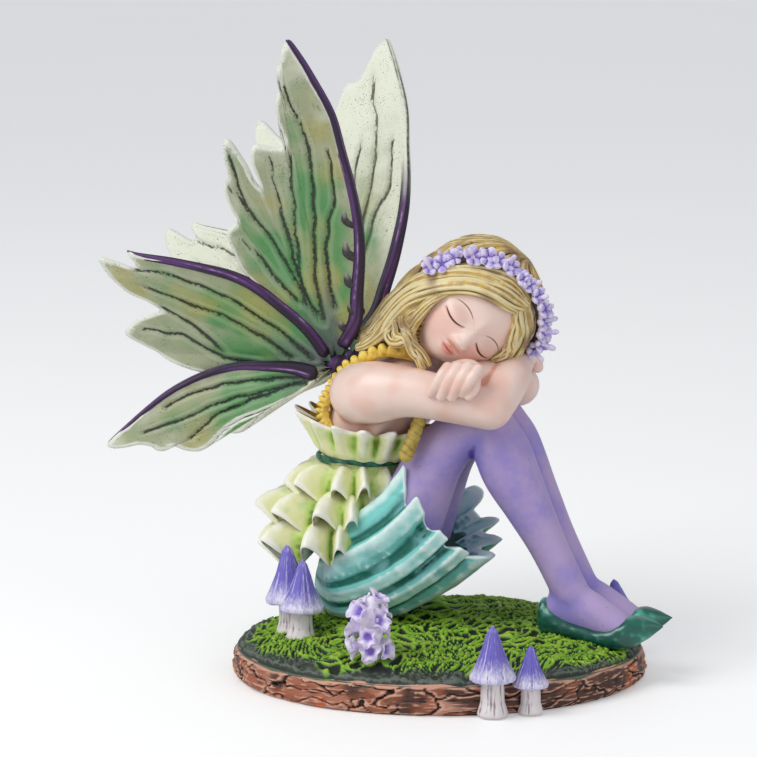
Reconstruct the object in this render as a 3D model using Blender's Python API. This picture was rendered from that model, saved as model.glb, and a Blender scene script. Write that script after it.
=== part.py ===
"""Seated fairy figurine: one painted resin casting with two separately cast wings.

Every size below is in millimetres. +X is the way the fairy faces, +Y is the fairy's left, +Z is up,
and the origin is the middle of the flat underside of the base. The objects are made in metres.
"""

from math import cos, hypot, pi, radians, sin, sqrt

import bmesh
import bpy
from mathutils import Vector

MM = 0.001
SEAM_KEEP = 0.74
SHARP_ANGLE = radians(50.0)

# Ground: an oval slice of log with its bark on, carpeted with moss
BASE_LENGTH = 87.0
BASE_DEPTH = 75.0
BASE_TURN = 18.0
BARK_HEIGHT = 6.2
MOSS_RISE = 4.2
TUSSOCK_RISE = 0.5
TUSSOCK_PITCH = 8.8
BARK_CRACK = 1.5
BARK_PLATES = 12

# Legs, measured in the fairy's own middle plane as (forward, up)
FIGURE_Y = 4.5
HIP = Vector((-10.0, 23.0))
ANKLE = Vector((27.5, 20.0))
THIGH_LENGTH = 36.0
SHIN_LENGTH = 36.2
THIGH_BOW = 5.5
HIP_SPREAD = 5.6
KNEE_SPREAD = 5.0
KNEE_STAGGER = 0.35
FOOT_SPREAD = 4.2
THIGH_RADIUS = 7.8
KNEE_RADIUS = 5.2
CALF_RADIUS = 5.9
ANKLE_RADIUS = 3.8
SHOE_LENGTH = 25.5
SHOE_HALF_WIDTH = 4.2

# Body
WAIST = Vector((-18.3, 44.6))
WAIST_DEPTH = 8.4
WAIST_HALF_WIDTH = 8.8
CHEST_HALF_WIDTH = 12.3
SHOULDER = Vector((-14.2, 59.8))
SHOULDER_SPREAD = 11.5
SHOULDER_RADIUS = 6.9
ARM_RADIUS = 5.1
ELBOW = Vector((14.3, 58.0))
ELBOW_SPREAD = 12.0
ELBOW_RADIUS = 4.6
WRIST_RADIUS = 2.9
FINGER_RADIUS = 1.3

# Head, laid on its left cheek on the folded arms
HEAD_ABOVE_ELBOW = 18.8
HEAD_X = 6.4
HEAD_OFFSET_Y = -1.5
HEAD_UP = Vector((0.708, 0.334, 0.622)).normalized()
HEAD_FACING = Vector((0.477, -0.875, -0.075)).normalized()
HEAD_HALF_WIDTH = 11.4
HEAD_HALF_DEPTH = 12.0
HEAD_HALF_HEIGHT = 13.4
HAIR_THICKNESS = 1.9
LOCK_RADIUS = 2.3
BLOSSOM_RADIUS = 2.9
BLOSSOM_COUNT = 11

# Dress
BELT_RADIUS = 0.9
FRILL_RISE = 7.6
FRILL_FLARE = 4.6
FRILL_FOLDS = 9
TIER_FOLDS = 9
TIER_FOLD_DEPTH = 1.8
SKIRT_HALF_WIDTH = 14.2
SKIRT_FOLDS = 11
SKIRT_FOLD_DEPTH = 1.35
SKIRT_SQUARENESS = 0.8
TRIM_RADIUS = 1.25
TRIM_BEAD_HEIGHT = 0.45

# Wings: each is cast by itself, and a peg on its root is glued into a socket in the back
WING_ROOT = Vector((-22.6, 63.8))
WING_ROOT_SPREAD = 4.2
WING_THICKNESS = 1.7
WING_EDGE = 0.9
WING_RIB_RADIUS = 1.35
UPPER_SPLAY = 0.42
MIDDLE_SPLAY = 0.17
LOWER_SPLAY = 0.25
PEG_RADIUS = 1.7
PEG_LENGTH = 5.0
GLUE_GAP = 0.3


def paint(name, colour, roughness=0.5):
    """A painted resin finish of one colour."""
    material = bpy.data.materials.new(name)
    material.use_nodes = True
    shader = material.node_tree.nodes["Principled BSDF"]
    shader.inputs["Base Color"].default_value = (*colour, 1.0)
    shader.inputs["Roughness"].default_value = roughness
    shader.inputs["Metallic"].default_value = 0.0
    return material


SKIN = paint("skin", (0.80, 0.55, 0.45), 0.45)
TIGHTS = paint("lavender_tights", (0.27, 0.21, 0.56), 0.5)
PEARL_GREEN = paint("pearly_green", (0.01, 0.16, 0.12), 0.3)
TEAL = paint("teal_cloth", (0.16, 0.55, 0.48), 0.5)
RUFFLE = paint("yellow_green_cloth", (0.68, 0.75, 0.32), 0.5)
GOLD = paint("gold_trim", (0.60, 0.36, 0.03), 0.45)
HAIR = paint("dark_blond_hair", (0.50, 0.33, 0.11), 0.5)
LILAC = paint("lilac_petals", (0.48, 0.38, 0.76), 0.5)
CAP = paint("violet_mushroom_caps", (0.28, 0.22, 0.60), 0.5)
STEM = paint("pale_stems", (0.72, 0.66, 0.66), 0.55)
MOSS = paint("moss_and_bark", (0.10, 0.19, 0.03), 0.7)
WING = paint("leaf_green_wing", (0.28, 0.38, 0.20), 0.55)


def smooth_path(stations, count):
    """Catmull-Rom curve through tuples of any size, as `count` tuples."""
    last = len(stations) - 1
    samples = []
    for step in range(count):
        place = step / (count - 1) * last
        i = min(int(place), last - 1)
        t = place - i
        before = stations[max(i - 1, 0)]
        after = stations[min(i + 2, last)]
        sample = []
        for a, b, c, d in zip(before, stations[i], stations[i + 1], after):
            bend = (2 * a - 5 * b + 4 * c - d) * t ** 2 + (3 * b - a - 3 * c + d) * t ** 3
            sample.append(0.5 * (2 * b + (c - a) * t + bend))
        samples.append(tuple(sample))
    return samples


def solid(name, rings, start, end, material):
    """Closed skin over rings of points given in millimetres, drawn to a point at either end."""
    mesh = bmesh.new()
    loops = [[mesh.verts.new(point * MM) for point in ring] for ring in rings]
    for lower, upper in zip(loops, loops[1:]):
        for i in range(len(lower)):
            j = (i + 1) % len(lower)
            mesh.faces.new((lower[i], lower[j], upper[j], upper[i]))
    for loop, tip in ((loops[0], start), (loops[-1], end)):
        pole = mesh.verts.new(tip * MM)
        for i in range(len(loop)):
            mesh.faces.new((loop[i], loop[(i + 1) % len(loop)], pole))
    return finish(name, mesh, material)


def finish(name, mesh, material):
    """Turn the faces outwards and make the object."""
    bmesh.ops.triangulate(mesh, faces=mesh.faces)
    bmesh.ops.recalc_face_normals(mesh, faces=mesh.faces)
    data = bpy.data.meshes.new(name)
    mesh.to_mesh(data)
    mesh.free()
    data.shade_smooth()
    data.set_sharp_from_angle(angle=SHARP_ANGLE)
    data.materials.append(material)
    return bpy.data.objects.new(name, data)


def limb(name, stations, sides, count, material, flat=1.0, bead=0.0, beads=0):
    """Round limb along a smooth path through (x, y, z, radius); `flat` squeezes it, beads notch it."""
    samples = smooth_path(stations, count)
    centres = [Vector(sample[:3]) for sample in samples]
    side = Vector((0.0, 1.0, 0.0))
    rings = []
    for i, centre in enumerate(centres):
        tangent = (centres[min(i + 1, count - 1)] - centres[max(i - 1, 0)]).normalized()
        side = side - tangent * side.dot(tangent)
        if side.length < 0.1:
            side = tangent.orthogonal()
        side.normalize()
        over = tangent.cross(side)
        radius = samples[i][3] + bead * abs(sin(pi * beads * i / (count - 1)))
        ring = []
        for k in range(sides):
            turn = 2 * pi * k / sides
            ring.append(centre + side * (radius * flat * cos(turn)) + over * (radius * sin(turn)))
        rings.append(ring)
    start = centres[0] + (centres[0] - centres[1]).normalized() * samples[0][3] * 0.55
    end = centres[-1] + (centres[-1] - centres[-2]).normalized() * samples[-1][3] * 0.55
    return solid(name, rings, start, end, material)


def egg(name, centre, axes, sides, rows, material):
    """Ellipsoid on three half-axis vectors, the last one running pole to pole."""
    across, along, up = axes
    rings = []
    for row in range(1, rows):
        tilt = pi * row / rows
        middle = centre - up * cos(tilt)
        turns = [2 * pi * k / sides for k in range(sides)]
        rings.append([middle + (across * cos(turn) + along * sin(turn)) * sin(tilt) for turn in turns])
    return solid(name, rings, centre - up, centre + up, material)


# Base: the log slice and its moss are one skin, ringed outwards and upwards from the underside
def base_point(angle, reach, z):
    """Point of the oval at an angle, `reach` being 1 at its rim."""
    turn = radians(BASE_TURN)
    along = BASE_LENGTH / 2 * cos(angle) * reach
    across = BASE_DEPTH / 2 * sin(angle) * reach
    return Vector((along * cos(turn) - across * sin(turn), along * sin(turn) + across * cos(turn), z))


def moss_height(x, y):
    """Height of the lumpy carpet of moss, falling away to the bark at the rim."""
    turn = radians(BASE_TURN)
    along = (x * cos(turn) + y * sin(turn)) / (BASE_LENGTH / 2)
    across = (y * cos(turn) - x * sin(turn)) / (BASE_DEPTH / 2)
    reach = min(hypot(along, across), 1.0)
    beat = 2 * pi / TUSSOCK_PITCH
    tussocks = TUSSOCK_RISE * sin(x * beat + 1.6 * sin(y * 0.17)) * cos(y * beat + 1.4 * sin(x * 0.14))
    swell = 0.3 * sin(x * 0.23 + 1.0) * cos(y * 0.19)
    return BARK_HEIGHT + (MOSS_RISE + tussocks + swell) * (1.0 - reach ** 4) ** 0.8


def make_base():
    sides = 40
    levels = ((0.97, 0.0), (1.0, 1.8), (0.975, 2.9), (0.985, 5.0))
    rings = []
    for reach, z in levels:
        ring = []
        for k in range(sides):
            angle = 2 * pi * k / sides
            plate = abs(sin(angle * BARK_PLATES / 2 + 0.8 * sin(2 * angle) + 0.5 * sin(z)))
            crack = BARK_CRACK * max(0.0, 1.0 - plate * 2.2) / (BASE_DEPTH / 2)
            wander = 0.012 * sin(3 * angle + 1.0) + 0.008 * sin(7 * angle + z)
            drop = 0.45 * sin(5 * angle) if z > 2.5 and z < BARK_HEIGHT else 0.0
            ring.append(base_point(angle, reach + wander - crack, z + drop))
        rings.append(ring)
    for reach in (0.91, 0.79, 0.64, 0.49, 0.34, 0.18):
        ring = []
        for k in range(sides):
            point = base_point(2 * pi * k / sides, reach, 0.0)
            point.z = moss_height(point.x, point.y)
            ring.append(point)
        rings.append(ring)
    top = Vector((0.0, 0.0, moss_height(0.0, 0.0)))
    return solid("figurine", rings, Vector((0.0, 0.0, 0.0)), top, MOSS)


# Legs: a two-link solve puts the knee where thigh and shin meet
reach_vector = ANKLE - HIP
reach_along = (THIGH_LENGTH ** 2 - SHIN_LENGTH ** 2 + reach_vector.length ** 2) / (2 * reach_vector.length)
knee_rise = sqrt(max(THIGH_LENGTH ** 2 - reach_along ** 2, 1.0))
forward = reach_vector.normalized()
KNEE = HIP + forward * reach_along + Vector((-forward.y, forward.x)) * knee_rise


def link_stations(start, end, start_y, end_y, profile):
    """Stations along a leg link; the profile gives (share of the length, bow to the left, radius)."""
    line = end - start
    left = Vector((-line.y, line.x)).normalized()
    stations = []
    for share, bow, radius in profile:
        point = start + line * share + left * bow
        stations.append((point.x, start_y + (end_y - start_y) * share, point.y, radius))
    return stations


def make_leg(side):
    # The right knee is carried a touch ahead of the left
    hip_y = FIGURE_Y + side * HIP_SPREAD
    knee_y = FIGURE_Y + side * KNEE_SPREAD
    ahead = Vector((-side * KNEE_STAGGER, 0.0))
    foot_y = FIGURE_Y + side * FOOT_SPREAD
    thigh = link_stations(HIP, KNEE + ahead, hip_y, knee_y, (
        (0.0, 0.0, THIGH_RADIUS),
        (0.35, THIGH_BOW * 0.6, THIGH_RADIUS * 0.9),
        (0.65, THIGH_BOW, THIGH_RADIUS * 0.77),
        (0.87, THIGH_BOW * 0.8, KNEE_RADIUS * 1.02),
        (1.0, 0.4, KNEE_RADIUS)))
    shin = link_stations(KNEE + ahead, ANKLE + ahead * 0.5, knee_y, foot_y, (
        (0.0, 0.0, KNEE_RADIUS),
        (0.12, 0.0, CALF_RADIUS),
        (0.28, -0.4, CALF_RADIUS),
        (0.5, -0.2, CALF_RADIUS * 0.83),
        (0.75, 0.0, ANKLE_RADIUS * 1.05),
        (1.05, 0.0, ANKLE_RADIUS)))
    return [
        limb("thigh", thigh, 9, 6, TIGHTS),
        limb("shin", shin, 9, 7, TIGHTS),
    ]


def lying_loft(name, sections, y, sides, material):
    """Skin over ellipses standing across X; each section is (x, middle height, half height, half width)."""
    rings = [[Vector((x, y + half_width * cos(2 * pi * k / sides), z + half_height * sin(2 * pi * k / sides)))
              for k in range(sides)] for x, z, half_height, half_width in sections[1:-1]]
    start = Vector((sections[0][0], y, sections[0][1]))
    end = Vector((sections[-1][0], y, sections[-1][1]))
    return solid(name, rings, start, end, material)


def make_foot(side):
    y = FIGURE_Y + side * FOOT_SPREAD
    heel = ANKLE.x - 6.4
    ground = ANKLE.y - 9.3
    long = SHOE_LENGTH
    width = SHOE_HALF_WIDTH
    foot = lying_loft("foot", (
        (heel + 0.05 * long, ground + 4.2, 0.0, 0.0),
        (heel + 0.11 * long, ground + 4.6, 3.5, width * 0.62),
        (heel + 0.27 * long, ground + 5.2, 5.2, width * 0.80),
        (heel + 0.45 * long, ground + 4.1, 4.9, width * 0.86),
        (heel + 0.63 * long, ground + 2.2, 4.0, width * 0.86),
        (heel + 0.78 * long, ground + 0.9, 2.6, width * 0.70),
        (heel + 0.90 * long, ground + 1.2, 0.0, 0.0)), y, 8, TIGHTS)
    shoe = lying_loft("shoe", (
        (heel, ground + 1.9, 0.0, 0.0),
        (heel + 0.05 * long, ground + 2.1, 2.7, width * 0.62),
        (heel + 0.20 * long, ground + 1.2, 2.5, width * 0.90),
        (heel + 0.39 * long, ground + 0.1, 2.2, width * 0.98),
        (heel + 0.59 * long, ground - 0.5, 2.6, width * 1.02),
        (heel + 0.76 * long, ground - 0.1, 3.2, width * 0.94),
        (heel + 0.91 * long, ground + 1.1, 1.9, width * 0.55),
        (heel + 1.05 * long, ground + 2.2, 0.0, 0.0)), y, 8, PEARL_GREEN)
    return [foot, shoe]


# Body: waist to neck, leaning forward over the thighs
def standing_loft(name, levels, sides, material, y=FIGURE_Y):
    """Skin over level ellipses; each level is (middle x, z, half depth, half width)."""
    rings = [[Vector((x + depth * cos(2 * pi * k / sides), y + width * sin(2 * pi * k / sides), z))
              for k in range(sides)] for x, z, depth, width in levels[1:-1]]
    start = Vector((levels[0][0], y, levels[0][1]))
    end = Vector((levels[-1][0], y, levels[-1][1]))
    return solid(name, rings, start, end, material)


def make_torso():
    x, z = WAIST
    lean = (SHOULDER.x - WAIST.x) / (SHOULDER.y - WAIST.y)
    rise = SHOULDER.y - WAIST.y
    body = standing_loft("torso", (
        (x, z - 9.0, 0.0, 0.0),
        (x, z - 6.0, WAIST_DEPTH * 0.9, WAIST_HALF_WIDTH),
        (x, z, WAIST_DEPTH, WAIST_HALF_WIDTH),
        (x + lean * rise * 0.4 + 0.4, z + rise * 0.4, WAIST_DEPTH * 1.08, CHEST_HALF_WIDTH * 0.86),
        (x + lean * rise * 0.75 + 1.2, z + rise * 0.75, WAIST_DEPTH * 1.12, CHEST_HALF_WIDTH * 0.97),
        (x + lean * rise * 1.05 + 2.2, z + rise * 1.05, WAIST_DEPTH * 1.08, CHEST_HALF_WIDTH * 0.94),
        (x + lean * rise * 1.3 + 4.2, z + rise * 1.3, WAIST_DEPTH * 0.82, CHEST_HALF_WIDTH * 0.74),
        (x + lean * rise * 1.5 + 7.0, z + rise * 1.5, WAIST_DEPTH * 0.42, CHEST_HALF_WIDTH * 0.40),
        (x + lean * rise * 1.55 + 8.0, z + rise * 1.6, 0.0, 0.0)), 12, RUFFLE)
    nape = Vector((SHOULDER.x + 5.7, FIGURE_Y, SHOULDER.y + 4.7))
    neck = limb("neck", (
        (*nape, 4.6),
        (nape.x + 5.5, nape.y - 0.5, nape.z + 4.5, 4.1),
        (nape.x + 10.5, nape.y - 1.0, nape.z + 8.5, 4.4)), 8, 3, SKIN)
    seat = Vector((HIP.x - 4.0, FIGURE_Y, HIP.y + 8.0))
    hip_axes = (Vector((9.5, 0.0, 0.0)), Vector((0.0, 11.5, 0.0)), Vector((0.0, 0.0, 11.0)))
    hips = egg("hips", seat, hip_axes, 10, 5, TEAL)
    return [body, neck, hips]


def make_arms():
    near = FIGURE_Y - SHOULDER_SPREAD
    far = FIGURE_Y + SHOULDER_SPREAD
    sx, sz = SHOULDER
    ex, ez = ELBOW
    near_elbow = FIGURE_Y - ELBOW_SPREAD
    far_elbow = FIGURE_Y + ELBOW_SPREAD - 2.0
    near_arm = limb("near_arm", (
        (sx - 1.5, near + 1.5, sz - 0.6, SHOULDER_RADIUS * 0.92),
        (sx + 3.5, near - 1.2, sz + 0.3, SHOULDER_RADIUS * 0.93),
        (sx + 10.5, near - 2.2, sz + 0.8, ARM_RADIUS),
        (sx + 19.0, near - 2.0, sz - 0.5, ARM_RADIUS * 0.93),
        (ex - 0.4, near_elbow - 0.6, ez - 0.1, ELBOW_RADIUS),
        (ex + 2.6, near_elbow + 4.6, ez + 4.2, ELBOW_RADIUS * 0.93),
        (ex + 3.3, near_elbow + 9.5, ez + 6.8, ELBOW_RADIUS * 0.78),
        (ex + 3.4, near_elbow + 14.0, ez + 8.4, WRIST_RADIUS)), 9, 11, SKIN)
    far_arm = limb("far_arm", (
        (sx - 1.5, far - 1.5, sz - 0.6, SHOULDER_RADIUS * 0.92),
        (sx + 3.5, far + 1.2, sz + 0.3, SHOULDER_RADIUS * 0.93),
        (sx + 10.5, far + 1.6, sz + 0.6, ARM_RADIUS),
        (sx + 19.0, far + 1.2, sz + 0.0, ARM_RADIUS * 0.93),
        (ex - 0.2, far_elbow + 0.4, ez + 1.2, ELBOW_RADIUS),
        (ex - 0.6, far_elbow - 7.0, ez + 3.6, ELBOW_RADIUS * 0.90),
        (ex - 3.2, far_elbow - 15.5, ez + 5.3, ELBOW_RADIUS * 0.75),
        (ex - 5.6, far_elbow - 22.0, ez + 6.2, WRIST_RADIUS)), 9, 11, SKIN)
    pieces = [near_arm, far_arm]
    fist = Vector((ex - 7.2, near - 4.6, ez + 6.1))
    palm = (Vector((4.6, 0.6, 0.0)), Vector((0.0, 3.1, 0.4)), Vector((0.4, 0.0, 3.7)))
    pieces.append(egg("far_palm", fist, palm, 8, 5, SKIN))
    for finger in range(4):
        x = fist.x - 3.7 + finger * 2.35
        pieces.append(limb("far_finger", (
            (x + 1.3, fist.y - 1.6, fist.z + 2.9, FINGER_RADIUS),
            (x + 0.5, fist.y - 2.9, fist.z + 0.8, FINGER_RADIUS),
            (x - 0.5, fist.y - 3.0, fist.z - 1.3, FINGER_RADIUS),
            (x - 1.3, fist.y - 1.6, fist.z - 3.1, FINGER_RADIUS * 0.85)), 5, 4, SKIN))
    rest = Vector((ex + 3.6, near_elbow + 17.5, ez + 9.0))
    palm = (Vector((2.4, 0.0, 1.2)), Vector((0.0, 3.8, 0.3)), Vector((-1.4, 0.0, 2.6)))
    pieces.append(egg("near_palm", rest, palm, 8, 5, SKIN))
    for finger in range(4):
        lift = 1.8 - finger * 1.7
        pieces.append(limb("near_finger", (
            (rest.x + 1.2 - lift * 0.3, rest.y + 1.5, rest.z + lift, FINGER_RADIUS),
            (rest.x - 1.0 - lift * 0.3, rest.y + 7.4, rest.z + lift + 0.6, FINGER_RADIUS * 0.85)), 5, 2, SKIN))
    return pieces


# Head: what is on it is placed by (to the fairy's left, forward, up) from the middle of the skull,
# either in millimetres or in shares of the head's half sizes
HEAD = Vector((HEAD_X, FIGURE_Y + HEAD_OFFSET_Y, ELBOW.y + HEAD_ABOVE_ELBOW))
HEAD_LEFT = HEAD_UP.cross(HEAD_FACING).normalized()


def on_head(left, ahead, up):
    return HEAD + HEAD_LEFT * left + HEAD_FACING * ahead + HEAD_UP * up


def on_skull(left, ahead, up):
    """Place given in shares of the head's half sizes, 1 being the skin of the skull."""
    return on_head(left * HEAD_HALF_WIDTH, ahead * HEAD_HALF_DEPTH, up * HEAD_HALF_HEIGHT)


def head_axes(left, ahead, up):
    return HEAD_LEFT * left, HEAD_FACING * ahead, HEAD_UP * up


def make_head():
    sides, rows = 16, 11
    rings = []
    for row in range(1, rows):
        tilt = pi * row / rows
        up = -cos(tilt)
        jaw = max(-up, 0.0)
        ring = []
        for k in range(sides):
            turn = 2 * pi * k / sides
            ahead = sin(turn)
            left = cos(turn)
            half_width = HEAD_HALF_WIDTH * (1.0 - 0.24 * jaw ** 2)
            half_depth = HEAD_HALF_DEPTH * (1.0 if ahead > 0 else 1.0 - 0.30 * jaw)
            fold = 0.7 * sin(pi * (up + 0.45) * 2.0) if abs(up + 0.2) < 0.5 else 0.0
            brow = 0.5 * max(ahead, 0.0) ** 3 * fold
            wide = left * half_width * sin(tilt)
            deep = ahead * half_depth * sin(tilt) ** 0.85 + brow
            ring.append(on_head(wide, deep, up * HEAD_HALF_HEIGHT))
        rings.append(ring)
    skull = solid("head", rings, on_skull(0.0, 0.0, -1.0), on_skull(0.0, 0.0, 1.0), SKIN)
    pieces = [
        skull,
        egg("nose", on_skull(0.0, 0.96, -0.545), head_axes(1.25, 1.7, 2.1), 6, 4, SKIN),
        egg("lips", on_skull(0.0, 0.81, -0.73), head_axes(1.9, 1.5, 0.9), 7, 4, SKIN),
    ]
    for side in (-1, 1):
        pieces.append(egg("eyelid", on_skull(side * 0.41, 0.825, -0.345), head_axes(2.4, 1.5, 1.3), 7, 4, SKIN))
    return pieces


def lock(stations, radius, count=6):
    """Lock of hair through places in shares of the head's half sizes, thinning at both ends."""
    last = len(stations) - 1
    placed = []
    for i, station in enumerate(stations):
        placed.append((*on_skull(*station), radius * (0.45 + 0.55 * sin(pi * (0.12 + 0.76 * i / last)))))
    return limb("lock", placed, 5, count, HAIR)


def make_hair():
    # One fluted skin from the crown down to the tip lying on the back; the flutes are the combed strands
    wide = HEAD_HALF_WIDTH + HAIR_THICKNESS
    deep = HEAD_HALF_DEPTH + HAIR_THICKNESS - 0.9
    top = HEAD_HALF_HEIGHT + HAIR_THICKNESS
    stations = (
        (0.0, -1.6, 0.93, 0.36, 0.36),
        (0.0, -2.0, 0.80, 0.66, 0.66),
        (0.0, -2.3, 0.50, 0.91, 0.90),
        (0.0, -2.4, 0.14, 1.0, 1.0),
        (-0.3, -2.8, -0.22, 0.98, 0.97),
        (-1.8, -4.4, -0.56, 0.80, 0.80),
        (-3.6, -7.0, -0.88, 0.55, 0.52),
        (-4.6, -9.6, -1.16, 0.30, 0.28))
    sides = 24
    rings = []
    for left, ahead, up, width, depth in stations:
        ring = []
        for k in range(sides):
            angle = 2 * pi * k / sides - 0.35 * up
            flute = 1.0 + (0.045 if k % 2 else -0.045)
            across = left + wide * width * flute * cos(angle)
            forth = ahead + deep * depth * flute * sin(angle)
            ring.append(on_head(across, forth, top * up))
        rings.append(ring)
    pieces = [solid("hair", rings, on_head(0.0, -1.4, top), on_head(-4.6, -10.4, -top * 1.34), HAIR)]
    # Locks combed over the forehead from the wreath, and the loose ones by the temple and the neck
    pieces += [
        lock((
            (0.35, 0.58, 0.81), (-0.18, 0.82, 0.64), (-0.66, 0.77, 0.30), (-0.96, 0.47, -0.15),
            (-1.01, 0.08, -0.67)), LOCK_RADIUS, 7),
        lock((
            (0.44, 0.70, 0.67), (-0.09, 0.88, 0.45), (-0.57, 0.86, 0.10),
            (-0.89, 0.63, -0.27)), LOCK_RADIUS * 0.85),
        lock((
            (0.26, 0.68, 0.70), (0.64, 0.73, 0.39), (0.91, 0.62, 0.00),
            (0.96, 0.42, -0.45)), LOCK_RADIUS * 0.9),
        lock((
            (-0.93, 0.33, -0.22), (-0.84, 0.38, -0.71), (-0.67, 0.22, -1.12),
            (-0.58, 0.05, -1.46)), LOCK_RADIUS * 0.8),
    ]
    return pieces


def blossom(centre, outward, spin):
    """Five-petalled flower head: a shallow dish with a bead in the middle."""
    across = outward.orthogonal().normalized()
    over = outward.cross(across)
    r = BLOSSOM_RADIUS
    centre = centre - outward * 0.5
    rings = []
    for reach, lift, petal in ((0.45, -0.4, 0.0), (1.0, 0.25, 0.24)):
        ring = []
        for k in range(10):
            angle = pi * k / 5 + spin
            wide = r * reach * (1.0 + (petal if k % 2 else -petal))
            ring.append(centre + (across * cos(angle) + over * sin(angle)) * wide + outward * (lift * r))
        rings.append(ring)
    return solid("blossom", rings, centre - outward * r * 0.6, centre + outward * r * 0.45, LILAC)


def make_garland():
    # The wreath rests on the crown from temple to temple
    arc = smooth_path((
        (-1.25, 0.28, -0.22), (-1.17, 0.58, 0.24), (-0.86, 0.78, 0.59), (-0.37, 0.88, 0.81),
        (0.20, 0.90, 0.85), (0.74, 0.83, 0.72), (1.11, 0.62, 0.42), (1.25, 0.25, -0.04)), BLOSSOM_COUNT)
    cord = [(*on_skull(left * 0.96, ahead * 0.92, up * 0.96), 1.9) for left, ahead, up in arc[::2]]
    pieces = [limb("wreath_cord", cord, 4, 6, LILAC)]
    for i, (left, ahead, up) in enumerate(arc):
        centre = on_skull(left, ahead, up)
        outward = (on_skull(left, ahead * 0.8, up) - HEAD).normalized()
        sway = HEAD_FACING * (0.8 if i % 2 else -0.5)
        pieces.append(blossom(centre + sway, (outward + sway * 0.25).normalized(), i * 0.7))
    return pieces


# Dress: ruffles are rings waved by their folds, the fold growing towards the free edge
def wavy_ring(x, z, rear, front, half_width, folds, depth, lift, slope, shift):
    """Egg-shaped ring about the waist; `depth` and `lift` wave it outwards and up, `slope` tilts it."""
    per_fold = 4
    ring = []
    for k in range(folds * per_fold):
        angle = 2 * pi * k / (folds * per_fold)
        wave = cos(2 * pi * k / per_fold + shift)
        uneven = 1.0 + 0.25 * sin(3 * angle + z)
        long_side = (front if cos(angle) > 0 else rear) + depth * wave * uneven
        wide_side = half_width + depth * wave * uneven
        px = x + long_side * cos(angle)
        rise = lift * wave * uneven + slope * (px - x)
        ring.append(Vector((px, FIGURE_Y + wide_side * sin(angle), z + rise)))
    return ring


def make_frill():
    x, z = WAIST
    top = z + FRILL_RISE
    depth = TIER_FOLD_DEPTH
    deep = WAIST_DEPTH
    wide = WAIST_HALF_WIDTH
    flare = wide + FRILL_FLARE
    folds = FRILL_FOLDS
    rings = [
        wavy_ring(x, z - 0.6, deep, deep, wide, folds, 0.1, 0.0, 0.0, 0.0),
        wavy_ring(x, z + 2.0, deep + 1.3, deep + 1.6, wide + 1.4, folds, depth * 0.5, 0.0, 0.0, 0.0),
        wavy_ring(
            x + 0.4, top - 0.4, deep + 3.0, deep + 3.8, flare - 0.3, folds, depth * 1.1, 0.5, -0.12, 0.0),
        wavy_ring(x + 0.5, top + 0.4, deep + 2.4, deep + 3.2, flare - 1.0, folds, depth, 0.5, -0.12, 0.0),
    ]
    belt_rings = []
    for swell, rise in ((0.7, -BELT_RADIUS), (1.1, 0.0), (0.7, BELT_RADIUS)):
        ring = []
        for k in range(12):
            ahead = (deep + swell) * cos(pi * k / 6)
            left = (wide + swell) * sin(pi * k / 6)
            ring.append(Vector((x + ahead, FIGURE_Y + left, z + rise - 0.03 * ahead)))
        belt_rings.append(ring)
    return [
        solid("frill", rings, Vector((x, FIGURE_Y, z - 1.5)), Vector((x, FIGURE_Y, top - 3.0)), RUFFLE),
        solid("belt", belt_rings, Vector((x, FIGURE_Y, z - 1.2)), Vector((x, FIGURE_Y, z + 1.2)), PEARL_GREEN),
    ]


def make_tier(level, z_root, z_edge, rear, front, half_width, slope):
    x = WAIST.x - 1.5 * level
    folds = TIER_FOLDS
    depth = TIER_FOLD_DEPTH
    middle = z_root * 0.45 + z_edge * 0.55 + 0.8
    wide = half_width
    half_slope = slope * 0.5
    rings = [
        wavy_ring(
            x + 1.0, z_root, rear * 0.55, front * 0.75, wide * 0.62, folds, depth * 0.2, 0.0, half_slope, level),
        wavy_ring(x, middle, rear * 0.84, front * 0.92, wide * 0.87, folds, depth * 0.75, 0.4, slope, level),
        wavy_ring(x, z_edge + 0.7, rear, front, wide, folds, depth, 0.8, slope, level),
        wavy_ring(x, z_edge - 0.7, rear - 0.8, front - 0.8, wide - 0.8, folds, depth, 0.8, slope, level),
    ]
    top = Vector((x, FIGURE_Y, z_root + 1.0))
    under = Vector((x, FIGURE_Y, z_edge - 0.2))
    return solid("tier", rings, top, under, RUFFLE)


def make_tiers():
    top = WAIST.y
    return [
        make_tier(0.6, top - 0.8, top - 7.6, 14.2, 10.0, 12.6, 0.06),
        make_tier(1.6, top - 6.5, top - 13.4, 18.4, 11.0, 14.6, 0.03),
        make_tier(2.4, top - 12.0, top - 19.6, 17.6, 11.0, 16.0, 0.08),
    ]


def squared(share):
    """Sine or cosine that stays near 1 for longer, which makes an oval boxier."""
    return (1.0 if share > 0 else -1.0) * abs(share) ** SKIRT_SQUARENESS


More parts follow.
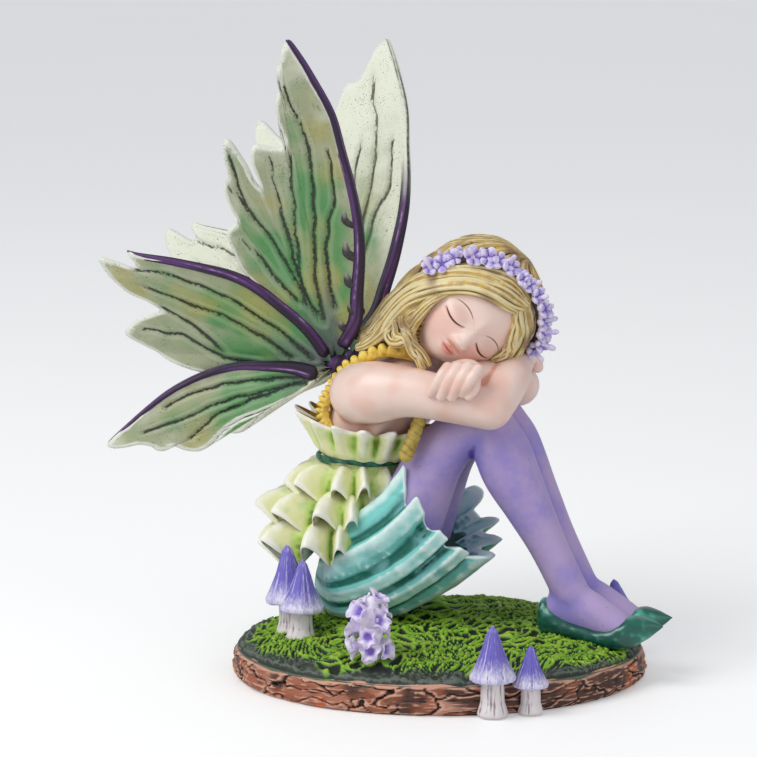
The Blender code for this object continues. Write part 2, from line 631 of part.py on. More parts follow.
def make_overskirt():
    # A bag of cloth about hips and thighs, from the seat on the moss to the waved hem round the legs
    hip = HIP
    wide = SKIRT_HALF_WIDTH
    rows = smooth_path((
        (hip.x - 16.0, hip.y - 2.5, -12.0, 6.5, wide - 6.2, 0.1),
        (hip.x - 11.5, hip.y - 2.4, 0.0, 11.2, wide - 1.6, 0.35),
        (hip.x - 3.5, hip.y + 0.8, 14.0, 12.6, wide - 0.6, 0.65),
        (hip.x + 4.2, hip.y + 5.6, 29.0, 12.3, wide, 0.9),
        (hip.x + 10.4, hip.y + 11.4, 42.0, 12.0, wide - 0.6, 1.15)), 6)
    rows.append((hip.x + 9.4, hip.y + 10.6, 42.0, 10.4, wide - 2.2, 1.0))
    sides = SKIRT_FOLDS * 4
    rings = []
    for x, z, tilt, half_height, half_width, fold in rows:
        lean = radians(tilt)
        ring = []
        for k in range(sides):
            angle = 2 * pi * k / sides
            wave = fold * SKIRT_FOLD_DEPTH * cos(pi * k / 2 + 0.6 * sin(2 * angle))
            upward = (half_height + wave) * squared(sin(angle))
            outward = (half_width + wave) * squared(cos(angle))
            hem = fold * 0.7 * sin(pi * k / 2)
            ahead = hem * cos(lean) - upward * sin(lean)
            above = hem * sin(lean) + upward * cos(lean)
            ring.append(Vector((x + ahead, FIGURE_Y + outward, z + above)))
        rings.append(ring)
    seat = Vector((hip.x - 17.5, FIGURE_Y, hip.y - 2.5))
    lap = Vector((hip.x + 5.0, FIGURE_Y, hip.y + 6.5))
    return [solid("overskirt", rings, seat, lap, TEAL)]


def make_trim():
    waist = WAIST
    shoulder = SHOULDER
    pieces = []
    for side in (-1, 1):
        y = FIGURE_Y + side * (CHEST_HALF_WIDTH - 3.3)
        path = (
            (waist.x - 4.3, y, waist.y + 5.6),
            (waist.x - 6.3, y - side * 1.6, waist.y + 9.7),
            (shoulder.x - 8.4, y - side * 1.2, shoulder.y - 0.8),
            (shoulder.x - 4.0, y, shoulder.y + 4.6),
            (shoulder.x + 3.9, y, shoulder.y + 8.2),
            (shoulder.x + 11.7, y - side * 2.0, shoulder.y + 6.8))
        stations = [(*point, TRIM_RADIUS) for point in path]
        pieces.append(limb("armhole_trim", stations, 5, 15, GOLD, 1.0, TRIM_BEAD_HEIGHT, 7))
    front = FIGURE_Y - CHEST_HALF_WIDTH
    roll = (
        (shoulder.x + 12.6, front + 0.2, shoulder.y - 3.8),
        (shoulder.x + 11.2, front - 0.4, shoulder.y - 8.3),
        (shoulder.x + 9.6, front - 0.8, shoulder.y - 13.0))
    stations = [(*point, TRIM_RADIUS * 1.3) for point in roll]
    pieces.append(limb("rolled_trim", stations, 6, 7, GOLD, 1.0, 0.3, 3))
    return pieces


# Mushrooms and the flower cluster growing from the moss and from the edge of the base
def make_mushroom(foot, tip, cap_radius, stem_radius, rim_share):
    """Pointed mushroom from a foot to a tip; the cap's gathered rim sits `rim_share` up the stem."""
    up = (tip - foot).normalized()
    height = (tip - foot).length
    across = up.orthogonal().normalized()
    over = up.cross(across)

    def rings_at(profile, sides, groove):
        spin = sides * 0.37
        rings = []
        for share, radius in profile:
            ring = []
            for k in range(sides):
                turn = 2 * pi * k / sides + spin
                reach = radius * (1.0 - (groove if k % 2 else 0.0))
                ring.append(foot + up * (height * share) + (across * cos(turn) + over * sin(turn)) * reach)
            rings.append(ring)
        return rings

    rim = rim_share
    cap_rings = rings_at((
        (rim, cap_radius * 0.97),
        (rim + 0.04, cap_radius),
        (rim + (1 - rim) * 0.45, cap_radius * 0.56),
        (rim + (1 - rim) * 0.82, cap_radius * 0.27)), 10, 0.10)
    cap = solid("cap", cap_rings, foot + up * (height * (rim + 0.12)), tip, CAP)
    stem = solid("stem", rings_at((
        (0.02, stem_radius * 1.25), (0.14, stem_radius * 0.9), (rim + 0.15, stem_radius * 0.8)), 6, 0.0),
        foot, foot + up * (height * (rim + 0.2)), STEM)
    return [cap, stem]


def make_growth():
    pieces = []
    for x, y, tip_dx, tip_dy, height, cap_radius, stem_radius, rim in (
            (-28.6, -12.0, -0.9, 0.0, 18.6, 5.4, 2.6, 0.36),
            (-24.9, -16.4, 0.4, 0.2, 16.6, 5.3, 2.7, 0.36),
            (33.6, 22.6, -1.8, 0.6, 10.0, 3.9, 1.8, 0.25)):
        ground = moss_height(x, y) - 0.5
        foot = Vector((x, y, ground))
        pieces += make_mushroom(foot, foot + Vector((tip_dx, tip_dy, height)), cap_radius, stem_radius, rim)
    # Two more stand on the table side, grown against the bark of the front edge
    for angle, out, height, cap_radius, stem_radius in (
            (-77.0, 0.4, 18.2, 5.3, 2.7),
            (-65.5, 0.4, 13.7, 4.0, 2.3)):
        edge = base_point(radians(angle), 1.0, 0.3)
        outward = Vector((edge.x, edge.y, 0.0)).normalized()
        foot = edge + outward * out
        pieces += make_mushroom(foot, foot + Vector((0.0, 0.0, height)), cap_radius, stem_radius, 0.40)
    x, y = -5.2, -30.0
    ground = moss_height(x, y)
    core = Vector((x, y, ground + 6.5))
    stalk = ((x, y, ground - 1.0, 2.2), (x, y, ground + 3.5, 2.4), (*core, 3.4))
    pieces.append(limb("flower_stalk", stalk, 7, 3, STEM))
    for turn, rise, reach in (
            (205, 8.8, 2.0), (300, 8.6, 2.1), (80, 8.6, 2.0), (240, 5.4, 3.0),
            (325, 4.8, 3.0), (30, 4.6, 2.9), (140, 4.8, 2.9)):
        outward = Vector((cos(radians(turn)), sin(radians(turn)), (rise - 5.0) * 0.16)).normalized()
        pieces.append(blossom(Vector((x, y, ground + rise)) + outward * reach, outward, radians(turn)))
    return pieces


# Wings
def wing_surface(side, layer, splay, x, z):
    """Middle of a wing at (x, z): it leans outwards with height and towards the back."""
    above = max(z - WING_ROOT.y - 2.0, 0.0)
    behind = max(WING_ROOT.x + 2.6 - x, 0.0)
    spread = WING_ROOT_SPREAD + UPPER_SPLAY * above + splay * behind + layer
    return Vector((x, FIGURE_Y + side * spread, z))


def sized(points, size):
    """Outline points moved towards or away from the wing root."""
    return [WING_ROOT + (Vector(point) - WING_ROOT) * size for point in points]


def make_lobe(side, layer, splay, points):
    """Toothed leaf fanned out from the wing root, pleated between its teeth."""
    count = len(points)
    arms = [(point - WING_ROOT).length for point in points]
    mesh = bmesh.new()
    borders = []
    for face in (-1, 1):
        hub = wing_surface(side, layer, splay, WING_ROOT.x, WING_ROOT.y)
        hub.y += face * WING_THICKNESS / 2
        middle = mesh.verts.new(hub * MM)
        rings = []
        for share in (0.2, 1.0):
            ring = []
            for i, point in enumerate(points):
                flat = WING_ROOT + (point - WING_ROOT) * share
                tooth = arms[i] - 0.5 * (arms[max(i - 1, 0)] + arms[min(i + 1, count - 1)])
                pleat = max(-0.8, min(0.8, -0.14 * tooth)) * share
                thick = (WING_THICKNESS + (WING_EDGE - WING_THICKNESS) * share ** 2) / 2
                place = wing_surface(side, layer, splay, flat.x, flat.y)
                place.y += side * pleat + face * thick
                ring.append(mesh.verts.new(place * MM))
            rings.append(ring)
        for i in range(count - 1):
            mesh.faces.new((middle, rings[0][i], rings[0][i + 1]))
            for inner, outer in zip(rings, rings[1:]):
                mesh.faces.new((inner[i], outer[i], outer[i + 1]))
                mesh.faces.new((inner[i], outer[i + 1], inner[i + 1]))
        borders.append([middle, rings[0][0], *rings[1], rings[0][-1]])
    near, far = borders
    for i in range(len(near)):
        j = (i + 1) % len(near)
        mesh.faces.new((near[i], near[j], far[j], far[i]))
    return finish("lobe", mesh, WING)


def make_rib(side, layer, splay, edge):
    """Stout rib along a lobe's leading edge, thinning to its tip."""
    stations = []
    for i, flat in enumerate(edge):
        place = wing_surface(side, layer, splay, flat.x, flat.y)
        stations.append((*place, WING_RIB_RADIUS * (1.15 - 0.65 * i / (len(edge) - 1))))
    return limb("rib", stations, 5, len(edge) + 1, WING)


UPPER_EDGE = (
    (-20.0, 67.5), (-17.3, 75.5), (-15.0, 84.0), (-13.9, 93.0), (-14.4, 103.0), (-15.7, 111.0),
    (-18.3, 122.9), (-23.4, 133.0))
MIDDLE_EDGE = (
    (-24.6, 66.8), (-31.3, 74.6), (-41.7, 82.6), (-53.6, 86.5), (-62.9, 88.6))
LOWER_EDGE = (
    (-27.0, 64.4), (-35.7, 64.5), (-49.2, 62.2), (-62.8, 53.1), (-69.0, 47.1))
RIGHT_UPPER_TEETH = (
    (-25.8, 130.5), (-26.2, 124.0), (-27.8, 119.0), (-27.6, 113.2), (-29.8, 111.0), (-33.6, 112.4),
    (-34.3, 108.0), (-33.3, 103.2), (-34.7, 105.3), (-38.8, 113.6), (-39.3, 105.0), (-40.9, 103.0),
    (-39.4, 95.6), (-41.9, 94.0), (-39.8, 87.0), (-36.0, 80.5))
LEFT_UPPER_TEETH = (
    (-25.8, 127.3), (-29.0, 120.8), (-31.6, 120.8), (-33.7, 112.0), (-37.0, 105.5), (-46.2, 108.5),
    (-52.4, 113.0), (-51.4, 105.0), (-46.5, 97.0), (-48.5, 95.0), (-44.0, 86.0), (-37.0, 77.6))
MIDDLE_TEETH = (
    (-61.2, 86.2), (-69.3, 86.8), (-67.2, 82.6), (-64.0, 79.0), (-57.8, 75.8), (-64.6, 73.4),
    (-66.2, 70.4), (-63.0, 67.6), (-55.5, 63.2), (-46.0, 60.5))
LOWER_TEETH = (
    (-68.0, 45.6), (-61.7, 46.9), (-58.0, 45.2), (-51.5, 45.2), (-46.5, 48.0), (-42.5, 50.5),
    (-38.0, 53.1), (-33.5, 55.8), (-29.0, 58.0), (-26.0, 60.6))


def make_wing(name, side, upper_teeth, sizes):
    upper, middle, lower = sizes
    upper_edge = sized(UPPER_EDGE, upper)
    middle_edge = sized(MIDDLE_EDGE, middle)
    lower_edge = sized(LOWER_EDGE, lower)
    lobes = [
        make_lobe(side, -0.5, MIDDLE_SPLAY, upper_edge + sized(upper_teeth, 1.0)),
        make_lobe(side, 0.3, MIDDLE_SPLAY, middle_edge + sized(MIDDLE_TEETH, middle)),
        make_lobe(side, 1.1, LOWER_SPLAY, lower_edge + sized(LOWER_TEETH, lower)),
    ]
    helpers = [
        make_rib(side, -0.5, MIDDLE_SPLAY, upper_edge),
        make_rib(side, 0.3, MIDDLE_SPLAY, middle_edge),
        make_rib(side, 1.1, LOWER_SPLAY, lower_edge),
        make_peg(side, 0.0),
    ]
    wing = lobes[0]
    wing.name = name
    wing.data.name = name
    return wing, lobes[1:] + helpers


def make_peg(side, clearance):
    """Boss and peg at a wing root; with a clearance it is the tool that cuts the socket."""
    x, z = WING_ROOT
    y = FIGURE_Y + side * (WING_ROOT_SPREAD + 0.3)
    boss = PEG_RADIUS * 1.6 + clearance
    peg = PEG_RADIUS + clearance
    end = PEG_LENGTH + clearance
    stations = (
        (x - 0.6, y, z + 0.3, boss * 0.75),
        (x + 0.4, y, z, boss),
        (x + 1.6, y, z - 0.5, boss * 0.8),
        (x + 2.6, y, z - 0.9, peg),
        (x + 2.6 + end, y, z - 0.9 - end * 0.4, peg))
    return limb("peg", stations, 8, 5, WING)


def gather(name, helpers):
    """Hidden collection that a Boolean takes as its other operand."""
    collection = bpy.data.collections.new(name)
    bpy.context.scene.collection.children.link(collection)
    for helper in helpers:
        helper.hide_render = True
        helper.display_type = "WIRE"
        collection.objects.link(helper)
    return collection


def combine(target, collection, operation):
    modifier = target.modifiers.new(operation.title(), "BOOLEAN")
    modifier.operation = operation
    modifier.operand_type = "COLLECTION"
    modifier.collection = collection
    modifier.solver = "EXACT"
    modifier.material_mode = "TRANSFER"


for leftover in list(bpy.data.objects):
    bpy.data.objects.remove(leftover, do_unlink=True)

scene = bpy.context.scene
figurine = make_base()
scene.collection.objects.link(figurine)
casting = make_torso() + make_arms() + make_head() + make_hair() + make_garland()
casting += make_frill() + make_tiers() + make_overskirt() + make_trim() + make_growth()
for side in (-1, 1):
    casting += make_leg(side) + make_foot(side)
combine(figurine, gather("casting", casting), "UNION")
worn = figurine.modifiers.new("Soften seams", "DECIMATE")
worn.ratio = SEAM_KEEP
combine(figurine, gather("sockets", [make_peg(-1, GLUE_GAP), make_peg(1, GLUE_GAP)]), "DIFFERENCE")

for name, side, teeth, sizes in (
        ("right_wing", -1, RIGHT_UPPER_TEETH, (1.0, 1.0, 1.0)),
        ("left_wing", 1, LEFT_UPPER_TEETH, (0.96, 1.06, 1.03))):
    wing, helpers = make_wing(name, side, teeth, sizes)
    scene.collection.objects.link(wing)
    combine(wing, gather(name + "_parts", helpers), "UNION")
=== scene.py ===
"""Looks of the seated fairy figurine: cast resin, undercoated, painted by hand, washed and dry brushed.

Lengths are millimetres until a mesh is laid. +X is the way the fairy faces, +Y its left, +Z up.
"""

from math import cos, pi, radians, sin

import bpy
import numpy as np
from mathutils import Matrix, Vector


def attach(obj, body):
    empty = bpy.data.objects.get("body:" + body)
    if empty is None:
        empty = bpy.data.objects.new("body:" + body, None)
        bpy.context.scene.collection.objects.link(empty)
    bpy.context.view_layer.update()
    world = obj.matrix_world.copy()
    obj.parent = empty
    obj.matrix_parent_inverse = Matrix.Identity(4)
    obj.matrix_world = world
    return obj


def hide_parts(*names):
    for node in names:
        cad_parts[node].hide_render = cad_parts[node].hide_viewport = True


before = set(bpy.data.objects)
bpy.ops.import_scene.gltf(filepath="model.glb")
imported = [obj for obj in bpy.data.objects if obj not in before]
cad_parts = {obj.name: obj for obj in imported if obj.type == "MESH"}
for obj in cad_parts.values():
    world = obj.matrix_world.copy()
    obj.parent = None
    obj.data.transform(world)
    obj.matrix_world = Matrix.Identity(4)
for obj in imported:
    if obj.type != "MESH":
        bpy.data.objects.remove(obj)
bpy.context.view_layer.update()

# Studio: a pale table top, a broad soft lamp at the upper left and an even pale surround.
# The camera looks a little down on the fairy's right side from two thirds of a metre away.
MM = 0.001
AZIMUTH = radians(18.0)
ELEVATION = radians(9.0)
STAND_OFF = 650.0
SENSOR_WIDTH = 36.0
PICTURE_WIDTH = 757.0
FOCAL_LENGTH = 3140.0
LENS = SENSOR_WIDTH * FOCAL_LENGTH / PICTURE_WIDTH
AIM = Vector((-12.1, -3.9, 62.2))
away = Vector((sin(AZIMUTH) * cos(ELEVATION), -cos(AZIMUTH) * cos(ELEVATION), sin(ELEVATION)))
camera = bpy.data.objects.new("camera", bpy.data.cameras.new("camera"))
bpy.context.scene.collection.objects.link(camera)
camera.location = (AIM + away * STAND_OFF) * MM
camera.rotation_mode = "QUATERNION"
camera.rotation_quaternion = (-away).to_track_quat("-Z", "Y")
camera.data.sensor_width = SENSOR_WIDTH
camera.data.lens = LENS
camera.data.clip_start = 0.05
camera.data.clip_end = 20.0
bpy.context.scene.camera = camera
bpy.context.scene.view_settings.view_transform = "Standard"


def lamp(name, azimuth, elevation, distance, size, power):
    """Square soft box looking at the fairy from a bearing, in degrees, clockwise from the camera's own."""
    turn, lift = AZIMUTH + radians(azimuth), radians(elevation)
    out = Vector((sin(turn) * cos(lift), -cos(turn) * cos(lift), sin(lift)))
    light = bpy.data.objects.new(name, bpy.data.lights.new(name, "AREA"))
    light.data.size = size
    light.data.energy = power
    light.location = (AIM + out * distance) * MM
    light.rotation_mode = "QUATERNION"
    light.rotation_quaternion = (-out).to_track_quat("-Z", "Y")
    bpy.context.scene.collection.objects.link(light)


lamp("soft_box", -58.0, 46.0, 900.0, 0.55, 4.6)
lamp("fill_card", 40.0, 20.0, 1100.0, 0.8, 1.3)


def srgb(red, green, blue):
    """Linear colour of an sRGB triple of 0 to 255."""
    share = np.array((red, green, blue)) / 255.0
    linear = np.where(share <= 0.04045, share / 12.92, ((share + 0.055) / 1.055) ** 2.4)
    return (*(float(part) for part in linear), 1.0)


class Tone:
    """A socket of the paint being mixed. Arithmetic on it adds Math nodes and `node` adds any other."""

    def __init__(self, tree, socket=None):
        self.tree = tree
        self.socket = socket

    def node(self, kind, settings=None, sockets=None, out=0):
        made = self.tree.nodes.new("ShaderNode" + kind)
        for name, value in (settings or {}).items():
            setattr(made, name, value)
        for name, value in (sockets or {}).items():
            if isinstance(value, Tone):
                self.tree.links.new(value.socket, made.inputs[name])
            else:
                made.inputs[name].default_value = value
        return Tone(self.tree, made.outputs[out])

    def maths(self, operation, first, second):
        return self.node("Math", {"operation": operation}, {0: first, 1: second})

    def __add__(self, other):
        return self.maths("ADD", self, other)

    def __radd__(self, other):
        return self.maths("ADD", other, self)

    def __sub__(self, other):
        return self.maths("SUBTRACT", self, other)

    def __rsub__(self, other):
        return self.maths("SUBTRACT", other, self)

    def __mul__(self, other):
        return self.maths("MULTIPLY", self, other)

    def __rmul__(self, other):
        return self.maths("MULTIPLY", other, self)

    def __pow__(self, other):
        return self.maths("POWER", self, other)

    def between(self, low, high):
        """0 below `low`, 1 above `high` and a smooth step from one to the other."""
        return self.node("MapRange", {"interpolation_type": "SMOOTHSTEP"}, {0: self, 1: low, 2: high})

    def mix(self, bare, full):
        """Colour `bare` where this mask is 0 and `full` where it is 1."""
        return self.node("Mix", {"data_type": "RGBA"}, {0: self, 6: bare, 7: full}, 2)

    def mark(self, name):
        """Value that the mesh carries at each point."""
        return self.node("Attribute", {"attribute_name": name}, None, "Fac")

    def place(self, stretch=(1.0, 1.0, 1.0)):
        """Place on the object in millimetres, squeezed along each axis by `stretch`."""
        where = self.node("TexCoord", None, None, "Object")
        return self.node("VectorMath", {"operation": "MULTIPLY"},
            {0: where, 1: [part / MM for part in stretch]})

    def speckle(self, pitch, detail=2.0, stretch=(1.0, 1.0, 1.0)):
        """Cloudy noise about 0.5 with lumps `pitch` millimetres apart."""
        sockets = {"Vector": self.place(stretch), "Scale": 1.0 / pitch, "Detail": detail}
        return self.node("TexNoise", None, sockets, "Fac")


def new_paint(name, roughness, coat=0.0, specular=0.5):
    """Paint with nothing on it yet: its material, its shader and a brush to mix with."""
    material = bpy.data.materials.new(name)
    material.use_nodes = True
    shader = material.node_tree.nodes["Principled BSDF"]
    shader.inputs["Roughness"].default_value = roughness
    shader.inputs["Coat Weight"].default_value = coat
    shader.inputs["Coat Roughness"].default_value = 0.25
    shader.inputs["Specular IOR Level"].default_value = specular
    return material, shader, Tone(material.node_tree)


def lay_on(shader, colour, height=None, depth=0.1, roughness=None):
    """Link the mixed colour, and a height in shares of `depth` millimetres as fine relief."""
    links = shader.id_data.links
    links.new(colour.socket, shader.inputs["Base Color"])
    if roughness is not None:
        links.new(roughness.socket, shader.inputs["Roughness"])
    if height is not None:
        bump = height.node("Bump", None, {"Strength": 1.0, "Distance": depth * MM, "Height": height})
        links.new(bump.socket, shader.inputs["Normal"])


table_paint, table_shader, brush = new_paint("table_top", 0.6)
lay_on(table_shader, brush.speckle(400.0).mix(srgb(240, 239, 237), srgb(235, 234, 232)))
to_camera = brush.node("LightPath", None, None, "Is Camera Ray")
table_shader.inputs["Emission Color"].default_value = srgb(238, 238, 240)
table_shader.id_data.links.new((to_camera * 0.3).socket, table_shader.inputs["Emission Strength"])
table_mesh = bpy.data.meshes.new("table_top")
table_mesh.from_pydata([(-6, -6, 0), (6, -6, 0), (6, 6, 0), (-6, 6, 0)], [], [(0, 1, 2, 3)])
table_mesh.materials.append(table_paint)
table_top = bpy.data.objects.new("table_top", table_mesh)
bpy.context.scene.collection.objects.link(table_top)

surround = bpy.data.worlds.new("surround")
surround.use_nodes = True
bpy.context.scene.world = surround
glow = surround.node_tree.nodes["Background"]
air = Tone(surround.node_tree)
seen = air.node("LightPath", None, None, "Is Camera Ray")
surround.node_tree.links.new(seen.mix(srgb(200, 203, 208), srgb(240, 240, 240)).socket,
    glow.inputs["Color"])
surround.node_tree.links.new((seen * 0.15 + 0.85).socket, glow.inputs["Strength"])

# Log slice: the casting's foot, an oval slice of trunk with its bark on, 87 by 75 mm.
# The bark is cast as long plates split by cracks, painted copper brown and washed with black, with painted
# shade on the side away from the soft box.
BASE_LENGTH = 87.0
BASE_DEPTH = 75.0
BASE_TURN = radians(18.0)
BARK_HEIGHT = 6.2
MOSS_RISE = 4.2
TUSSOCK_RISE = 0.5
TUSSOCK_PITCH = 8.8
BARK_COPPER = srgb(158, 92, 64)
BARK_PINK = srgb(186, 138, 118)
BARK_ORANGE = srgb(196, 92, 28)
BARK_DARK = srgb(78, 46, 32)
CRACK_BLACK = srgb(20, 14, 12)


def lumps(points, pitch, seed=0):
    """Smooth random height from -1 to 1: lattice values `pitch` apart, blended by the place in the cell."""
    table = np.random.default_rng(seed).uniform(-1.0, 1.0, (32, 32, 32))
    scaled = np.asarray(points, float) / pitch
    corner = np.floor(scaled).astype(int)
    share = scaled - corner
    share = share * share * (3.0 - 2.0 * share)
    total = 0.0
    for i in (0, 1):
        for j in (0, 1):
            for k in (0, 1):
                weight = (share[..., 0] if i else 1 - share[..., 0]) * (
                    share[..., 1] if j else 1 - share[..., 1])
                weight = weight * (share[..., 2] if k else 1 - share[..., 2])
                total = total + weight * table[
                    (corner[..., 0] + i) % 32, (corner[..., 1] + j) % 32, (corner[..., 2] + k) % 32]
    return total


def joined(*parts):
    """Points from their x, y and z, spread to one shape."""
    return np.stack(np.broadcast_arrays(*parts), -1)


def ring(cols):
    """Angles once round, in a row."""
    return np.linspace(0.0, 2 * pi, cols, endpoint=False)[None, :]


def unit(vectors):
    return vectors / np.maximum(np.linalg.norm(vectors, axis=-1, keepdims=True), 1e-9)


def roughen(skin, centre, *layers):
    """Push a skin's points out from `centre` by lumps; a layer is (height, pitch, seed)."""
    relief = sum(high * lumps(skin, pitch, seed) for high, pitch, seed in layers)
    return skin + unit(skin - centre) * relief[..., None]


def patches(across, along, seed, around=0):
    """Distances to the nearest two of seeds scattered one to a unit square, and the nearest one's lot."""
    table = np.random.default_rng(seed).random((1009, 3))
    column, row = np.floor(across), np.floor(along)
    first = np.full(across.shape, 9.0)
    second = first.copy()
    lot = np.zeros(across.shape)
    for i in (-1, 0, 1):
        for j in (-1, 0, 1):
            c, r = column + i, row + j
            key = ((c % around if around else c) * 7919 + r * 104729).astype(np.int64) % 1009
            distance = np.hypot(c + table[key, 0] - across, r + table[key, 1] - along)
            closer = distance < first
            second = np.where(closer, first, np.minimum(second, distance))
            lot = np.where(closer, table[key, 2], lot)
            first = np.minimum(first, distance)
    return first, second, lot


def grid_faces(rows, cols, around=True, start=0):
    """Four-cornered faces over a grid of rows by columns, closed round the columns if `around`."""
    row, col = np.meshgrid(np.arange(rows - 1), np.arange(cols if around else cols - 1), indexing="ij")
    beside = (col + 1) % cols
    corners = (row * cols + col, row * cols + beside, (row + 1) * cols + beside, (row + 1) * cols + col)
    return np.stack(corners, -1).reshape(-1, 4) + start


def lathe_faces(rows, cols):
    """Faces of a closed skin: the grid, and one flat face over its first and its last row."""
    first = np.arange(cols)[None, :]
    return [grid_faces(rows, cols), first[:, ::-1], first + (rows - 1) * cols]


def lay_mesh(name, points, faces, marks=None):
    """Mesh object over points in millimetres, its faces turned outwards by the sign of their volume."""
    points = np.asarray(points, float).reshape(-1, 3)
    volume = 0.0
    for part in faces:
        first, middle, last = points[part[:, :1]], points[part[:, 1:-1]], points[part[:, 2:]]
        volume += float((first * np.cross(middle, last)).sum())
    if volume < 0.0:
        faces = [part[:, ::-1] for part in faces]
    corners = np.concatenate([part.ravel() for part in faces]).astype(np.int32)
    sizes = np.concatenate([np.full(len(part), part.shape[1]) for part in faces])
    mesh = bpy.data.meshes.new(name)
    mesh.vertices.add(len(points))
    mesh.vertices.foreach_set("co", (points * MM).astype(np.float32).ravel())
    mesh.loops.add(len(corners))
    mesh.loops.foreach_set("vertex_index", corners)
    mesh.polygons.add(len(sizes))
    mesh.polygons.foreach_set("loop_start", (np.cumsum(sizes) - sizes).astype(np.int32))
    mesh.update(calc_edges=True)
    mesh.polygons.foreach_set("use_smooth", np.ones(len(sizes), bool))
    made = bpy.data.objects.new(name, mesh)
    for mark, values in (marks or {}).items():
        put_mark(made, mark, values)
    bpy.context.scene.collection.objects.link(made)
    return made


def put_mark(made, name, values):
    """Give each point of the mesh a value that the paint can read."""
    layer = made.data.attributes.new(name, "FLOAT", "POINT")
    layer.data.foreach_set("value", np.asarray(values, np.float32).ravel())


def mesh_points(made):
    """Points of a mesh in millimetres, its edges, and the directions that its points face."""
    mesh = made.data
    points = np.empty(len(mesh.vertices) * 3, np.float32)
    mesh.vertices.foreach_get("co", points)
    edges = np.empty(len(mesh.edges) * 2, np.int32)
    mesh.edges.foreach_get("vertices", edges)
    normals = np.empty(len(mesh.vertices) * 3, np.float32)
    mesh.vertex_normals.foreach_get("vector", normals)
    return points.reshape(-1, 3) / MM, edges.reshape(-1, 2), normals.reshape(-1, 3)


def relax(values, edges, rounds):
    """Move each value half way to the mean of its neighbours' along the edges, `rounds` times."""
    count = len(values)
    links = np.bincount(edges.ravel(), minlength=count)[:, None]
    for _ in range(rounds):
        total = np.stack([
            np.bincount(edges[:, 0], values[edges[:, 1], axis], count)
            + np.bincount(edges[:, 1], values[edges[:, 0], axis], count)
            for axis in range(values.shape[1])], -1)
        values = 0.5 * values + 0.5 * total / np.maximum(links, 1)
    return values


def mark_hollows(made, depth, rounds=6, name="hollow"):
    """Mark how far each point lies below (1) or above (-1) its surroundings, in shares of `depth` mm.

    The surroundings are the mesh relaxed a few rounds, measured along the way each point faces.
    """
    points, edges, normals = mesh_points(made)
    below = ((relax(points, edges, rounds) - points) * normals).sum(1)
    put_mark(made, name, np.clip(below / depth, -1.0, 1.0))


def fix(made, material, node="figurine"):
    """Paint the piece and join it to the casting that it is part of."""
    made.data.materials.append(material)
    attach(made, "root")
    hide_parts(node)


def cast_skin(name, skin, paint, marks, depth, rounds):
    """A closed skin as a painted piece of the casting, its hollows marked by `mark_hollows`."""
    made = lay_mesh(name, skin, lathe_faces(*skin.shape[:2]), marks)
    mark_hollows(made, depth, rounds)
    fix(made, paint)
    return made


def on_slice(along, across):
    """Place on the slice from shares of its half length and half depth."""
    along, across = along * BASE_LENGTH / 2, across * BASE_DEPTH / 2
    return along * cos(BASE_TURN) - across * sin(BASE_TURN), along * sin(BASE_TURN) + across * cos(BASE_TURN)


def oval(angle, reach):
    """Place on the slice at an angle, `reach` being 1 at its rim."""
    return on_slice(np.cos(angle) * reach, np.sin(angle) * reach)


def moss_top(x, y):
    """Height of the moss: a mound that falls off towards the rim, with tussocks and a slow swell."""
    along = (x * cos(BASE_TURN) + y * sin(BASE_TURN)) / (BASE_LENGTH / 2)
    across = (y * cos(BASE_TURN) - x * sin(BASE_TURN)) / (BASE_DEPTH / 2)
    reach = np.minimum(np.hypot(along, across), 1.0)
    beat = 2 * pi / TUSSOCK_PITCH
    tussocks = (TUSSOCK_RISE * np.sin(x * beat + 1.6 * np.sin(y * 0.17))
        * np.cos(y * beat + 1.4 * np.sin(x * 0.14)))
    swell = 0.3 * np.sin(x * 0.23 + 1.0) * np.cos(y * 0.19)
    return BARK_HEIGHT + (MOSS_RISE + tussocks + swell) * (1.0 - reach ** 4) ** 0.8


def bark_skin():
    """Wall of the slice: a bulging ellipse, plated by stretched patches whose borders sink as cracks."""
    cols, rows = 600, 34
    angle = ring(cols)
    level = np.linspace(0.0, 1.0, rows)[:, None]
    rim = joined(*oval(angle, 1.0), 0.0)
    top = BARK_HEIGHT * (0.99 + 0.05 * lumps(rim, 9.0, 3) + 0.03 * lumps(rim, 3.0, 4))
    z = level * top
    reach = np.interp(level, (0.0, 0.08, 0.3, 0.5, 0.7, 0.9, 1.0),
        (0.962, 0.985, 0.998, 0.982, 0.99, 0.98, 0.955))
    x, y = oval(angle, reach)
    place = joined(x, y, z)
    bend = lumps(place, 7.0, 5) * 0.55 + lumps(place, 2.2, 6) * 0.28
    first, second, lot = patches(angle / (2 * pi) * 21 + bend * 0.8,
        z / 2.9 + bend * 1.3 + 0.6 * np.sin(3 * angle), 7, 21)
    width = 0.12 + 0.12 * lumps(place, 4.5, 10)
    crack = 1.0 - np.clip((second - first) / np.maximum(width, 0.03), 0.0, 1.0) ** 0.8
    fibre = lumps(place * (0.35, 0.35, 2.4), 0.8, 8)
    bulge = 0.5 * (lot - 0.5) + 0.22 * fibre - 1.05 * crack ** 1.5 + 0.25 * lumps(place, 1.6, 9)
    bulge = bulge * np.sin(pi * np.clip(level * 1.06, 0.03, 1.0)) ** 0.4
    place = place + unit(rim) * bulge[..., None]
    shelf = place[-1:] * (0.82, 0.82, 1.0) - (0.0, 0.0, 0.6)
    hidden = np.zeros((1, cols))
    return np.concatenate([place, shelf]), np.concatenate([lot, hidden]), np.concatenate([crack, hidden])


